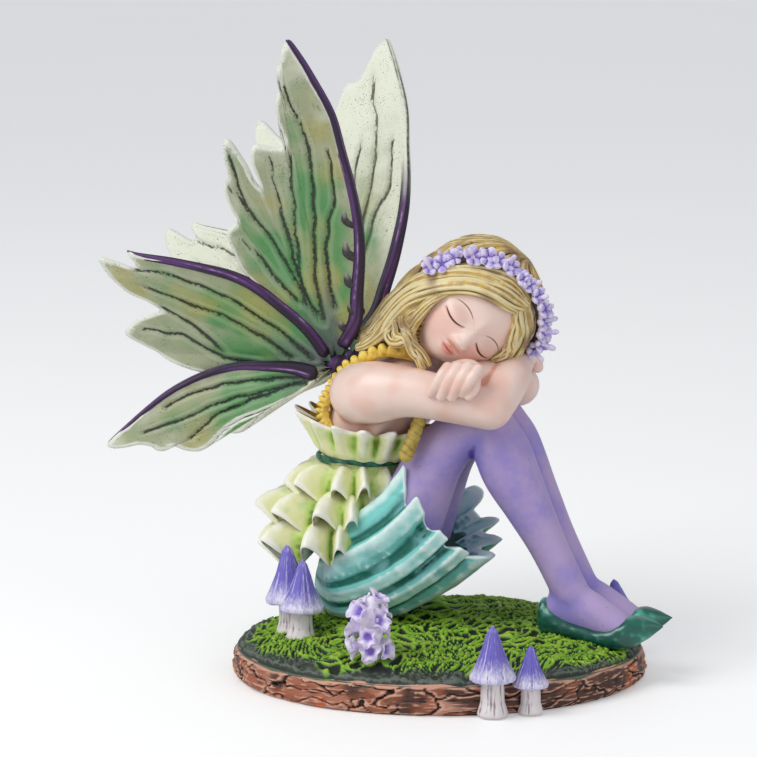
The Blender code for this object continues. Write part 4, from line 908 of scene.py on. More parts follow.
def hang_tier(name, level, z_root, z_edge, rear, front, half_width, slope, seed):
    """A tier swells out from its root, falls to a thick free edge and turns back in underneath."""
    x = WAIST[0] - 1.5 * level
    fall = np.linspace(0.0, 1.0, 36)
    spread = 0.56 + 0.44 * np.sin(fall * pi / 2) ** 0.85
    depth = 2.3 * fall ** 1.1
    z = z_root + (z_edge + 0.5 - z_root) * (0.35 * fall + 0.65 * fall ** 1.9)
    turn = np.linspace(0.0, pi, 9)[1:]
    under = np.linspace(0.0, 1.0, 10)[1:]
    thick = 0.42
    spread = np.concatenate([spread, np.ones(8), 1.0 - 0.4 * under])
    inset = np.concatenate([fall * 0.0, thick * (1 - np.cos(turn)) * 0.9, np.full(9, thick * 1.8)])
    z = np.concatenate([z, z[-1] - thick * np.sin(turn) * 1.2, z_edge + 0.5 + 1.2 * under])
    depth = np.concatenate([depth, np.full(8, 2.3), 2.3 * (1.0 - 0.7 * under)])
    edge = np.concatenate([np.clip((fall - 0.86) / 0.14, 0, 1), np.ones(8), 1.0 - under * 0.9])
    inside = np.concatenate([fall * 0.0, np.zeros(8), under])
    grid, wave = ruffle_skin(
        np.full(len(z), x), z, rear * spread - inset, front * spread - inset, half_width * spread - inset,
        depth, depth, slope, TIER_FOLDS, level, 0.08 * depth / 2.3)
    grid = roughen(grid, (x, FIGURE_Y, z_edge), (0.25, 2.2, seed), (0.1, 0.8, seed + 1))
    cast_ruffle(name, grid, {"edge": edge, "inside": inside}, wave)


ruffle_paint, ruffle_shader, brush = new_paint("ruffle_paint", 0.5)
hollow, edge = brush.mark("hollow"), brush.mark("edge")
rise = brush.mark("wave") * 0.26 - hollow * 0.45 + edge * 0.3
rise = rise + brush.speckle(2.6, 3.0, (1.0, 1.0, 0.5)) * 0.6 - 0.3
tone = rise.between(-0.6, 0.02).mix(RUFFLE_LIME, RUFFLE_CREAM)
tone = rise.between(-0.82, -0.42).mix(RUFFLE_GREEN, tone)
tone = (brush.speckle(4.0, 1.0).between(0.55, 0.75) * 0.5).mix(tone, srgb(168, 206, 140))
tone = (rise + edge * 0.6 + brush.speckle(0.8) * 0.2).between(0.4, 1.0).mix(tone, RUFFLE_WHITE)
tone = (hollow + brush.speckle(1.4, 2.0, (1.0, 1.0, 0.4)) * 0.8).between(1.1, 1.75).mix(tone,
    srgb(110, 100, 40))
# Painted shade, with the cloth's own green: the underside that turns in under each tier is darkened olive.
tone = (brush.mark("inside").between(0.05, 0.5) * 0.8).mix(tone, srgb(92, 112, 36))
gold = (brush.speckle(0.9) - hollow * 0.3).between(0.3, 0.8).mix(srgb(176, 122, 26), LINING_GOLD)
tone = brush.mark("lining").between(0.3, 0.6).mix(tone, gold)
lay_on(ruffle_shader, tone, brush.speckle(0.6, 3.0, (1.0, 1.0, 0.35)), 0.1)
hang_tier("upper_tier", 0.6, 43.8, 37.0, 14.2, 10.0, 12.6, 0.06, 90)
hang_tier("middle_tier", 1.6, 38.1, 31.2, 18.4, 11.0, 14.6, 0.03, 92)
hang_tier("lower_tier", 2.4, 32.6, 25.0, 17.6, 11.0, 16.0, 0.08, 94)

rise = np.linspace(0.0, 1.0, 28)
turn = np.linspace(0.0, pi, 9)[1:]
down = np.linspace(0.0, 1.0, 14)[1:]
frill_swell = np.concatenate([np.interp(rise, (0, 0.25, 0.6, 1.0), (0.4, 2.2, 3.5, 5.3)),
    5.3 - 0.4 * (1 - np.cos(turn)), 4.5 - 2.2 * down])
frill_z = np.concatenate([WAIST[1] - 0.4 + rise * 7.4, WAIST[1] + 7.0 + 0.5 * np.sin(turn),
    WAIST[1] + 7.0 - 3.6 * down])
frill_depth = np.concatenate([1.7 * rise, np.full(8, 1.7), 1.7 - 0.8 * down])
frill_edge = np.concatenate([np.clip((rise - 0.88) / 0.12, 0, 1), np.ones(8), 1.0 - down])
frill_lining = np.concatenate([rise * 0.0, np.clip((turn - 2.0), 0, 1), np.ones(13)])
frill_grid, frill_wave = ruffle_skin(
    WAIST[0] + 0.1 * frill_swell, frill_z, 8.4 + frill_swell * 0.8, 8.4 + frill_swell, 8.8 + frill_swell,
    frill_depth, frill_depth * 0.42, -0.12, TIER_FOLDS + 3, 0.4, 0.08 * frill_depth / 1.7)
frill_grid = roughen(frill_grid, (WAIST[0], FIGURE_Y, 46.0), (0.2, 2.0, 96))
cast_ruffle("bodice_frill", frill_grid, {"edge": frill_edge, "lining": frill_lining}, frill_wave)

# Belt: a narrow sash drawn tight between the frill and the upper tier.
# Bottle green, rubbed a little lighter where it stands out.
belt_turn = np.linspace(0.0, 2 * pi, 17)[:, None]
angle = ring(180)
belt_out = 1.0 + 0.4 * np.cos(belt_turn) + 0.1 * np.sin(17 * angle + 2 * belt_turn)
belt_up = 0.62 * np.sin(belt_turn) * (1.0 + 0.25 * np.sin(5 * angle + 1.0))
belt_grid = joined(
    WAIST[0] + (8.4 + belt_out) * np.cos(angle), FIGURE_Y + (8.8 + belt_out) * np.sin(angle),
    WAIST[1] - 0.3 + belt_up - 0.03 * 8.4 * np.cos(angle) + 0.2 * np.sin(3 * angle))[:-1]
belt = lay_mesh("belt", belt_grid.transpose(1, 0, 2), [np.concatenate([grid_faces(180, 16), np.stack((
    179 * 16 + np.arange(16), 179 * 16 + (np.arange(16) + 1) % 16, (np.arange(16) + 1) % 16,
    np.arange(16)), -1)])])
mark_hollows(belt, 0.08, 4)
belt_paint, belt_shader, brush = new_paint("belt_paint", 0.42)
tone = (brush.speckle(1.2, 3.0) - brush.mark("hollow") * 0.4).between(0.4, 0.85).mix(srgb(8, 52, 44),
    srgb(24, 104, 80))
lay_on(belt_shader, tone, brush.speckle(0.5), 0.06)
fix(belt, belt_paint)

# Body: shoulders, neck and folded arms, cast in one with the bodice that shows behind the armholes.
# Flesh paint with a rosy wash and painted shade in the hollows and creases; the bodice is cream yellow like
# the ruffles.
SHOULDER = np.array((-14.2, 59.8))
ELBOW = np.array((14.3, 58.0))
BODICE_TOP = 47.0
CLOTH_EDGE = 0.8
SKIN_LIGHT = srgb(243, 214, 202)
SKIN_ROSE_SHADE = srgb(226, 166, 146)
SKIN_CREASE_SHADE = srgb(196, 124, 102)
TRIM_PATH = np.array((
    (-22.6, -4.5, 50.2), (-24.6, -2.9, 54.3), (-22.6, -3.3, 59.0), (-18.2, -4.5, 64.4),
    (-10.3, -4.5, 68.0), (-2.5, -2.5, 66.6)))


def about_armhole(points):
    """Bearing in degrees about the armhole's middle, in side view, and distance from it."""
    x, z = points[:, 0] + 11.0, points[:, 2] - 57.0
    return np.degrees(np.arctan2(z, x)) % 360.0, np.hypot(x, z)


def standing_skin(stations, rows, cols):
    """Skin over level ovals; a station is (middle x, height, half depth, half width)."""
    x, z, deep, wide = spline(stations, rows).T
    angle = ring(cols)
    deep, wide = np.maximum(deep, 0.03)[:, None], np.maximum(wide, 0.03)[:, None]
    return joined(x[:, None] + deep * np.cos(angle), FIGURE_Y + wide * np.sin(angle), z[:, None])


def egg_skin(centre, axes, rows=30, cols=36):
    """Ellipsoid on three half-axis vectors, its poles on the last."""
    tilt = np.linspace(0.04, pi - 0.04, rows)[:, None, None]
    turn = ring(cols)[..., None]
    across, along, up = (np.asarray(axis, float) for axis in axes)
    return centre + (across * np.cos(turn) + along * np.sin(turn)) * np.sin(tilt) - up * np.cos(tilt)


shoulder_x, shoulder_z = SHOULDER
elbow_x, elbow_z = ELBOW
body_skins = [
    standing_skin((
        (-18.3, 35.8, 0.0, 0.0), (-18.3, 38.6, 7.6, 8.6), (-18.3, 44.6, 8.4, 8.8), (-16.3, 50.7, 9.0, 10.6),
        (-14.0, 56.0, 9.4, 11.9), (-11.8, 60.6, 9.1, 11.6), (-8.8, 64.4, 6.9, 9.1), (-5.2, 67.4, 3.5, 4.9),
        (-4.0, 68.9, 0.0, 0.0)), 60, 80),
    tube(((-8.5, 4.5, 64.5, 4.6), (-3.0, 4.0, 69.0, 4.1), (2.0, 3.5, 73.0, 4.4)), 24, 40)]
near_y, far_y = -7.5, 14.5
for side, elbow_y, (swell, thin), (back, lift) in ((-1, near_y, (2.2, 2.0), (1.1, -0.1)),
    (1, far_y, (1.6, 1.2), (1.6, 1.2))):
    upper_arm = np.array((
        (-1.5, -1.5, -0.6, 6.3), (3.5, 1.2, 0.3, 6.4), (10.5, swell, 0.8, 5.2),
        (19.0, thin, -0.4, 4.7))) * (1, side, 1, 1)
    upper_arm += (shoulder_x, FIGURE_Y + side * 11.5, shoulder_z, 0.0)
    body_skins.append(
        tube([*upper_arm, (elbow_x - back, elbow_y + side * 0.6, elbow_z + lift, 4.5)], 60, 56))
near_forearm = np.array((
    (-1.1, -0.6, -0.1, 4.5), (0.9, 4.6, 4.2, 4.2), (1.3, 9.5, 6.8, 3.5),
    (1.4, 14.0, 8.4, 2.9))) + (elbow_x, near_y, elbow_z, 0.0)
far_forearm = np.array((
    (-1.6, 0.4, 1.2, 4.5), (-1.4, -7.0, 3.6, 4.1), (-3.2, -15.5, 5.3, 3.4),
    (-5.6, -22.0, 6.2, 2.8))) + (elbow_x, far_y, elbow_z, 0.0)
body_skins += [tube(near_forearm, 44, 48), tube(far_forearm, 56, 48)]
body = fuse("body", body_skins, 0.5, 6)
points = mesh_points(body)[0]
bearing, reach = about_armhole(points)
trim_bearing, trim_reach = about_armhole(TRIM_PATH[::-1])
past_trim = np.clip((reach - np.interp(bearing, trim_bearing, trim_reach)) / CLOTH_EDGE, 0.0, 1.0)
behind = np.where((bearing > 46.0) & (bearing < 216.0) & (points[:, 0] < -2.0), past_trim, 0.0)
below = np.clip((BODICE_TOP - points[:, 2]) / CLOTH_EDGE, 0.0, 1.0)
put_mark(body, "cloth", np.maximum(behind, below))
mark_hollows(body, 0.14, 16)
skin_paint, skin_shader, brush = new_paint("flesh_paint", 0.38, 0.15)
hollow = brush.mark("hollow")
tone = (brush.speckle(7.0, 1.0) - 0.5).between(-0.05, 0.22).mix(SKIN_LIGHT, srgb(238, 196, 180))
# Painted shade, together with the flesh paint's own rose: the hollows turn rose, and the deepest creases turn
# darker still.
tone = (hollow * 0.8 + brush.speckle(4.0) * 0.3 - 0.1).between(0.1, 0.85).mix(tone, SKIN_ROSE_SHADE)
tone = (hollow + brush.speckle(2.0) * 0.2).between(0.85, 1.5).mix(tone, SKIN_CREASE_SHADE)
cloth = (brush.speckle(1.6, 3.0) - hollow * 0.3).between(0.35, 0.7).mix(RUFFLE_LIME, RUFFLE_CREAM)
tone = brush.mark("cloth").mix(tone, cloth)
lay_on(skin_shader, tone, brush.speckle(0.9, 3.0), 0.02)
fix(body, skin_paint)

# Hands: the left is folded over the right forearm, knuckles to the chin; the right lies behind the head.
# Each is a palm, a wrist and fingers fused into one skin, and wears the body's flesh paint.


def cast_hand(name, skins, voxel):
    hand = fuse(name, skins, voxel, 2)
    mark_hollows(hand, 0.1, 8)
    fix(hand, skin_paint)


fist = np.array((elbow_x - 7.2, -11.6, elbow_z + 6.1))
hand_skins = [
    tube(far_forearm[2:], 24, 40),
    egg_skin(fist + (0.4, 0.5, 0.4), ((4.7, 0.5, 0.3), (0.0, 3.9, 0.5), (0.9, 0.0, 3.7)))]
for start, drop, radius in ((-3.5, 0.0, 1.12), (-1.35, 0.5, 1.22), (0.9, 0.5, 1.2), (3.0, -0.3, 1.05)):
    hand_skins.append(tube(np.array((
        (2.0, -1.6, 2.7 + drop * 0.3, radius), (1.3, -2.9, 1.3, radius * 1.06),
        (0.1, -3.3, -0.7 - drop * 0.3, radius),
        (-1.2, -2.6, -2.7 - drop, radius * 0.88))) + (*(fist + (start, 0.0, 0.0)), 0.0), 30, 26))
thumb = np.array(((4.2, -0.6, 0.2, 1.1), (4.3, -1.8, -1.6, 1.0), (3.2, -2.4, -3.1, 0.85))) + (*fist, 0.0)
cast_hand("left_hand", [*hand_skins, tube(thumb, 20, 24)], 0.25)
palm = np.array((elbow_x + 1.3, near_y + 17.5, elbow_z + 9.0))
hand_skins = [
    tube([*near_forearm[2:], (*palm, 2.4)], 30, 40),
    egg_skin(palm, ((2.4, 0.0, 1.2), (0.0, 3.8, 0.3), (-1.4, 0.0, 2.6)))]
for lift in (1.8, 0.1, -1.6, -3.3):
    hand_skins.append(tube(np.array((
        (1.2 - lift * 0.3, 1.5, lift, 1.25), (0.2 - lift * 0.3, 4.8, lift + 0.5, 1.2),
        (-1.0 - lift * 0.3, 7.8, lift + 0.6, 1.05))) + (*palm, 0.0), 24, 24))
cast_hand("right_hand", hand_skins, 0.3)

# Trims: a gold frill edges each armhole, and a rolled gold cord runs down the front edge of the bodice.
# Ochre gold paint, yellow on the crests and brown between them.
ROLLED_CORD = ((-1.6, -7.6, 56.0, 1.35), (-3.0, -8.2, 51.5, 1.4), (-4.6, -8.6, 47.3, 1.5))
TRIM_OCHRE = srgb(206, 150, 36)
TRIM_YELLOW = srgb(240, 212, 92)
TRIM_BROWN = srgb(104, 62, 14)


def braid(pitches, lean, depth):
    """Swelling of a cord: `pitches` crests along it, slanting round it by `lean`."""
    return lambda share, angle: (
        depth * np.abs(np.sin(pi * pitches * share + lean * angle / 2)) ** 0.8 - depth * 0.6)


def scallops(pitches, depth):
    """Swelling of a flat frill: `pitches` rounded scallops along the edge that points away from the arm."""
    return lambda share, angle: (
        depth * (np.abs(np.sin(pi * pitches * share)) ** 0.6 - 0.55) * np.clip(0.3 + np.sin(angle), 0.0, 1.3))


trim_paint, trim_shader, brush = new_paint("gold_trim_paint", 0.42, 0.1)
hollow = brush.mark("hollow")
tone = (brush.speckle(0.9, 2.0) - hollow * 0.5).between(0.3, 0.9).mix(TRIM_OCHRE, TRIM_YELLOW)
rolled = (brush.speckle(1.0, 3.0) - hollow * 0.5).between(0.3, 0.9).mix(srgb(136, 108, 34),
    srgb(192, 168, 74))
tone = brush.mark("rolled").mix(tone, rolled)
tone = (hollow + brush.speckle(0.8) * 0.3).between(0.3, 1.0).mix(tone, TRIM_BROWN)
lay_on(trim_shader, tone, brush.speckle(0.4), 0.06)
trim_skins = []
for side in (-1, 1):
    path = TRIM_PATH + (0.0, 0.0 if side < 0 else 9.0, 0.0)
    path[:, 1] = FIGURE_Y + side * (FIGURE_Y - TRIM_PATH[:, 1])
    trim_skins.append(tube([(*point, 1.25) for point in path], 250, 18, 0.6, groove=scallops(21, 0.72)))
trim_skins = [roughen(skin, (-11.0, FIGURE_Y, 57.0), (0.22, 0.9, 98)) for skin in trim_skins]
trim_skins.append(tube(ROLLED_CORD, 90, 24, groove=braid(6, 1.0, 0.16)))
is_rolled = [
    np.full(skin.shape[0] * skin.shape[1], float(index == 2)) for index, skin in enumerate(trim_skins)]
trims = gather_skins("gold_trims", trim_skins, {"rolled": np.concatenate(is_rolled)})
mark_hollows(trims, 0.16, 5)
fix(trims, trim_paint)

# Head: laid on its left cheek on the folded arms, eyes shut. A smooth egg with a soft, small face in relief.
# Flesh paint with rosy cheeks and coral lips; lashes and brows are single thin brown strokes.
HEAD = np.array((6.4, 3.0, 76.8))
HEAD_UP = unit(np.array((0.708, 0.334, 0.622)))
HEAD_FACING = unit(np.array((0.477, -0.875, -0.075)))
HEAD_LEFT = unit(np.cross(HEAD_UP, HEAD_FACING))
HEAD_HALF = np.array((11.4, 12.0, 13.4))
LIP_CORAL = srgb(232, 142, 124)
LASH_BROWN = srgb(74, 40, 30)


def on_head(left, ahead, up):
    """Places on the casting from places on the head, in millimetres to its left, forwards and up."""
    left, ahead, up = (np.asarray(part, float)[..., None] for part in np.broadcast_arrays(left, ahead, up))
    return HEAD + HEAD_LEFT * left + HEAD_FACING * ahead + HEAD_UP * up


def swell(left, up, at_left, at_up, wide, tall):
    """Round swelling of height 1 at a place on the face."""
    return np.exp(-0.5 * ((left - at_left) / wide) ** 2 - 0.5 * ((up - at_up) / tall) ** 2)


def face_relief(left, up):
    """How far the face stands out, summed from round swellings and hollows and from the ridge of the nose."""
    side = np.abs(left)
    relief = -0.95 * swell(side, up, 4.5, -3.3, 2.3, 1.7) + 1.05 * swell(side, up, 4.7, -4.5, 1.9, 1.25)
    lash_gap = up + 5.35 + 0.7 * (1 - ((side - 4.7) / 2.6) ** 2)
    relief -= 0.35 * np.exp(-(lash_gap / 0.28) ** 2) * (np.abs(side - 4.7) < 2.7)
    along = np.clip((-2.6 - up) / 5.4, 0.0, 1.0)
    end = 1.0 / (1.0 + np.exp(-(up + 8.75) / 0.16))
    nose = (0.4 + 2.3 * along ** 1.4) * np.exp(-0.5 * (left / (0.9 + 0.35 * along)) ** 2)
    relief += nose * end * np.clip((0.5 - up) / 3.0, 0.0, 1.0)
    relief += 0.55 * swell(side, up, 1.25, -8.05, 0.55, 0.5)
    relief += 0.5 * swell(left, up, 0.0, -9.95, 1.7, 0.4) - 0.12 * swell(left, up, 0.0, -9.5, 0.3, 0.4)
    relief += 0.62 * swell(left, up, 0.0, -11.05, 1.35, 0.48)
    relief -= 0.42 * np.exp(-((up + 10.45 - 0.1 * side) / 0.2) ** 2) * np.exp(-(side / 2.0) ** 4)
    relief += 0.75 * swell(left, up, 0.0, -13.1, 2.0, 1.1) + 0.65 * swell(side, up, 5.4, -8.0, 2.6, 2.3)
    return relief + 0.25 * swell(left, up, 0.0, 0.5, 6.0, 2.5)


def head_skin(rows=178, cols=188):
    """Egg ringed from the neck to the crown, its columns crowded to the front where the relief is added."""
    tilt = np.linspace(0.02, pi - 0.02, rows)[:, None]
    s = np.linspace(-pi, pi, cols, endpoint=False)[None, :]
    turn = pi / 2 + s - 0.62 * np.sin(s)
    up = -np.cos(tilt) * np.ones_like(turn)
    jaw = np.maximum(-up, 0.0)
    ahead, left = np.sin(turn), np.cos(turn)
    wide = left * HEAD_HALF[0] * (1.0 - 0.24 * jaw ** 2) * np.sin(tilt)
    deep = ahead * HEAD_HALF[1] * np.where(ahead > 0, 1.0, 1.0 - 0.30 * jaw) * np.sin(tilt) ** 0.85
    tall = up * HEAD_HALF[2]
    front = np.clip(ahead * 3.0, 0.0, 1.0) * np.ones_like(up)
    across, along = wide - 0.5, tall - 0.7
    return on_head(wide, deep + front * face_relief(across, along), tall), across, along, front


face_paint, face_shader, brush = new_paint("face_paint", 0.4, 0.15)
hollow, left, up = brush.mark("hollow"), brush.mark("left"), brush.mark("up")
side = left.maths("ABSOLUTE", left, 0.0)


def stroke(centre, half, bend, level, slope, width):
    """Mask of a brush stroke on both sides of the face: a bowed line that thins at its ends."""
    t = (side - centre) * (1.0 / half)
    line = t * t * bend + t * slope + level
    gap = up.maths("ABSOLUTE", up - line, 0.0)
    thick = (1.0 - t * t).maths("MAXIMUM", 1.0 - t * t, 0.0) ** 0.5 * width
    return (thick - gap + 0.05).between(0.0, 0.1) * brush.mark("front")


def dab(at_left, at_up, wide, tall):
    """Mask of a soft dab on both sides of the face."""
    across, along = (side - at_left) * (1.0 / wide), (up - at_up) * (1.0 / tall)
    return (across * across + along * along).between(1.0, 0.0) * brush.mark("front")


# Rose in the hollows of the face, partly the flesh paint's own rose and partly painted shade.
tone = (hollow * 0.9 + brush.speckle(4.0) * 0.3 - 0.1).between(0.1, 0.8).mix(SKIN_LIGHT, SKIN_ROSE_SHADE)
tone = (dab(5.6, -8.2, 5.2, 4.4) * 0.42).mix(tone, srgb(238, 170, 150))
tone = (dab(4.7, -4.0, 2.8, 1.7) * 0.4).mix(tone, srgb(226, 166, 150))
tone = (dab(0.0, -10.5, 2.5, 1.3).between(0.15, 0.85) * 0.75).mix(tone, LIP_CORAL)
tone = (dab(0.0, -10.45, 2.1, 0.3) * 0.6).mix(tone, srgb(176, 84, 72))
tone = stroke(4.7, 2.5, 0.8, -5.95, 0.0, 0.19).mix(tone, LASH_BROWN)
tone = (stroke(4.7, 2.6, -0.7, -2.0, 0.1, 0.13) * 0.9).mix(tone, srgb(120, 68, 46))
lay_on(face_shader, tone, brush.speckle(0.9, 3.0), 0.015)
head_grid, head_left, head_up, head_front = head_skin()
cast_skin("head", head_grid, face_paint, {"left": head_left, "up": head_up, "front": head_front}, 0.1, 10)

# Hair: swept from a crown under the wreath down the back of the neck, modelled in deep combed strands.
# Ochre blond, dry brushed with straw yellow, and washed nearly black in the grooves.
HAIR_HALF = HEAD_HALF + (1.9, 1.0, 1.9)
HAIR_OCHRE = srgb(180, 150, 92)
HAIR_STRAW = srgb(230, 214, 164)
HAIR_GOLD = srgb(204, 166, 78)
HAIR_DARK = srgb(44, 28, 12)


def strands(across, along, count, seed):
    """Relief of combed hair from -1 to 1 and the depth of its grooves: `count` uneven ridges, split finer."""
    drift = joined(across * 3.0, along * 2.2, seed)
    phase = across * count + 1.3 * lumps(drift, 0.9, seed)
    broad = np.abs(np.sin(pi * phase)) ** 0.55
    finer = np.abs(np.sin(pi * (phase * 3.0 + lumps(drift, 0.5, seed + 1)))) ** 0.7
    lift = 0.5 * lumps(joined(np.floor(phase) * 0.77, along, seed), 0.6, seed + 2)
    return 0.85 * broad + 0.28 * finer + 0.45 * lift - 0.6, 1.0 - broad * (0.6 + 0.4 * finer)


def hair_skin(rows=126, cols=232):
    """Ovals from the crown to the tip at the nape, combed lengthways."""
    left, ahead, up, wide, deep = spline((
        (0.0, -1.5, 1.0, 0.04, 0.04), (0.0, -1.6, 0.93, 0.36, 0.36), (0.0, -2.0, 0.80, 0.63, 0.63),
        (0.0, -2.3, 0.50, 0.89, 0.88), (0.0, -2.4, 0.14, 0.99, 0.99),
        (-0.3, -2.8, -0.22, 0.97, 0.96), (-1.8, -4.2, -0.56, 0.80, 0.80), (-3.6, -6.4, -0.88, 0.55, 0.54),
        (-5.2, -7.6, -1.18, 0.32, 0.34),
        (-6.4, -7.2, -1.42, 0.18, 0.22), (-6.8, -7.0, -1.52, 0.03, 0.03)), rows).T[:, :, None]
    along = np.linspace(0.0, 1.0, rows)[:, None]
    angle = ring(cols) - 0.35 * up
    place = np.linspace(0.0, 1.0, cols, endpoint=False)[None, :]
    from_seam = np.abs(place * 2.0 - 1.0)
    relief, groove = strands(from_seam + 0.16 * np.sin(along * 5.0 + from_seam * 4.0), along, 12.0, 120)
    lift = 1.15 * relief * np.clip(np.minimum(along * 9.0, (1.0 - along) * 9.0), 0.0, 1.0)
    reach_w, reach_d = HAIR_HALF[0] * wide + lift * 0.9, HAIR_HALF[1] * deep + lift * 0.9
    skin = on_head(left + reach_w * np.cos(angle), ahead + reach_d * np.sin(angle),
        HAIR_HALF[2] * up + 0.3 * lift)
    return skin, np.broadcast_to(groove, lift.shape)


def twisted(twist, start):
    """Swelling of a lock: five strands that wind round it, and eight finer ones that wind back."""
    return lambda share, angle: (
        0.17 * np.cos(5 * angle + 5 * twist * share + start) + 0.09 * np.cos(8 * angle - 7 * share))


def comb(first, last, count, radius, rows, seed, round_share=0.6):
    """Locks side by side from one guide line to another; each thins to its ends and wanders a little."""
    skins = []
    rng = np.random.default_rng(seed)
    for index, share in enumerate(np.linspace(0.0, 1.0, count)):
        guide = np.array(first) * (1 - share) + np.array(last) * share
        guide = guide + rng.uniform(-0.4, 0.4, guide.shape)
        path = spline(guide, 14)
        run = np.linspace(0.0, 1.0, 14)
        bulge = np.sin(pi * np.clip(run * 0.86 + 0.1, 0, 1)) ** round_share
        thick = radius * (0.35 + 0.65 * bulge) * rng.uniform(0.72, 1.3)
        stations = np.concatenate([on_head(*path.T), thick[:, None]], 1)
        twist = rng.uniform(0.5, 1.5) * (1 if index % 2 else -1)
        skins.append(tube(stations, rows, 22, 1.0, (0.3, 0.2, 0.9), 4, twisted(twist, rng.uniform(0, 6))))
    return skins


hair_paint, hair_shader, brush = new_paint("hair_paint", 0.5)
hollow = brush.mark("hollow")
tone = brush.speckle(3.0, 2.0).between(0.42, 0.62).mix(HAIR_OCHRE, HAIR_GOLD)
tone = (hollow * -0.8 + brush.speckle(1.2) * 0.7 - 0.1).between(0.28, 0.8).mix(tone, HAIR_STRAW)
tone = brush.speckle(8.0, 1.0).between(0.52, 0.7).mix(tone, srgb(150, 118, 84))
tone = (hollow + brush.mark("groove") * 0.6 + brush.speckle(1.0) * 0.4).between(0.5, 1.05).mix(tone,
    HAIR_DARK)
lay_on(hair_shader, tone, brush.speckle(0.5), 0.06)
hair_grid, hair_groove = hair_skin()
cast_skin("hair", hair_grid, hair_paint, {"groove": hair_groove}, 0.22, 6)
lock_skins = comb(
    ((3.0, 11.4, 6.2), (0.2, 12.3, 4.8), (-2.4, 12.3, 3.6), (-6.6, 10.3, 0.6), (-9.6, 7.0, -4.6),
    (-10.2, 3.4, -9.8), (-8.6, 0.2, -14.4),
     (-7.6, -1.2, -17.8), (-7.0, -3.0, -21.2), (-7.2, -4.9, -23.8)),
    ((3.0, 9.8, 9.6), (-1.8, 10.6, 9.4), (-5.2, 10.3, 8.2), (-9.4, 8.4, 4.6), (-12.2, 5.0, -0.5),
    (-12.8, 1.2, -6.2), (-11.2, -3.0, -12.0),
     (-9.6, -6.0, -16.6), (-8.2, -8.2, -20.2), (-7.2, -8.2, -23.0)), 8, 1.25, 68, 130)
lock_skins += comb(
    ((2.8, 11.5, 5.8), (5.2, 11.3, 3.8), (6.6, 10.8, 1.6), (8.2, 9.8, 0.2), (8.7, 8.8, -2.4)),
    ((2.4, 9.8, 9.4), (7.4, 8.9, 6.0), (10.9, 7.0, 0.8), (12.2, 4.0, -6.0), (11.0, 2.5, -8.5)), 6, 1.15,
    44, 131)
lock_skins += comb(
    ((-8.4, 0.9, -15.6), (-8.0, 0.7, -17.4), (-6.2, 1.8, -18.0), (-5.3, 3.6, -16.7), (-5.2, 4.9, -15.4),
    (-3.8, 6.0, -14.5), (-1.4, 6.7, -14.6), (1.2, 6.9, -14.9)),
    ((-9.0, 2.4, -13.2), (-8.2, 3.6, -13.4), (-7.2, 4.6, -13.8), (-6.3, 5.0, -14.4), (-5.6, 5.4, -14.9),
    (-3.2, 6.2, -15.6), (-1.0, 6.4, -15.8), (1.0, 6.5, -16.4)), 3, 0.8, 50, 132)
lock_skins += comb(
    ((-8.9, 8.2, -2.4), (-9.0, 7.6, -5.4), (-8.2, 5.8, -9.2), (-6.8, 4.7, -11.7), (-5.0, 4.8, -13.3),
    (-2.8, 5.6, -14.2)),
    ((-9.3, 7.7, -4.2), (-9.3, 5.9, -7.2), (-8.7, 3.7, -10.5), (-7.3, 2.7, -12.9), (-5.3, 2.9, -14.3),
    (-3.2, 3.9, -15.3)), 3, 0.9, 44, 133)
locks = gather_skins("hair_locks", lock_skins)
mark_hollows(locks, 0.12, 4)
fix(locks, hair_paint)

# Wreath: small five-petalled flowers and buds crowded along a cord over the crown from temple to temple.
WREATH_ARC = ((-14.2, 3.4, -3.0), (-13.3, 7.0, 3.2), (-9.8, 9.4, 7.9), (-4.2, 10.6, 10.8),
    (2.3, 10.8, 11.4), (8.4, 10.0, 9.6), (12.6, 7.4, 5.6), (14.2, 3.0, -0.5))
BUDS = 16
BUD_STATIONS = ((0.0, 0.7), (0.9, 0.75), (1.8, 1.0), (2.3, 0.85))
WREATH_LILAC = srgb(172, 152, 222)


def blossom(centre, axis, spin, size):
    """Flower head: five round puffed petals about a sunken eye with a bead in it, closed underneath."""
    radius = np.concatenate([np.linspace(0.02, 1.0, 14), (0.98, 0.8, 0.4, 0.03)])[:, None]
    crown = np.concatenate([np.ones(14), (0.5, 0.0, 0.0, 0.0)])[:, None]
    angle = ring(40)
    petal = np.abs(np.cos(2.5 * angle + spin + 0.25 * np.sin(angle + 2.0 * spin))) ** 0.6
    reach = size * radius * (1.0 - radius * 0.36 * (1.0 - petal) + 0.08 * np.sin(2 * angle + spin))
    cup = 0.5 * radius ** 1.5 * (0.3 + 0.7 * petal) + 0.3 * np.sin(pi * np.clip(radius, 0, 1)) * petal
    upper = crown * (0.1 + cup + 0.24 * np.exp(-(radius / 0.14) ** 2))
    height = size * (upper - (1 - crown) * (0.35 - 0.2 * radius))
    place = swept(centre, axes_about(axis, (0.3, 0.9, 0.2)), height, reach, angle)
    heart = crown * (np.exp(-(radius / 0.38) ** 2) + 0.6 * (1 - petal) * radius)
    return place, np.broadcast_to(heart, reach.shape)


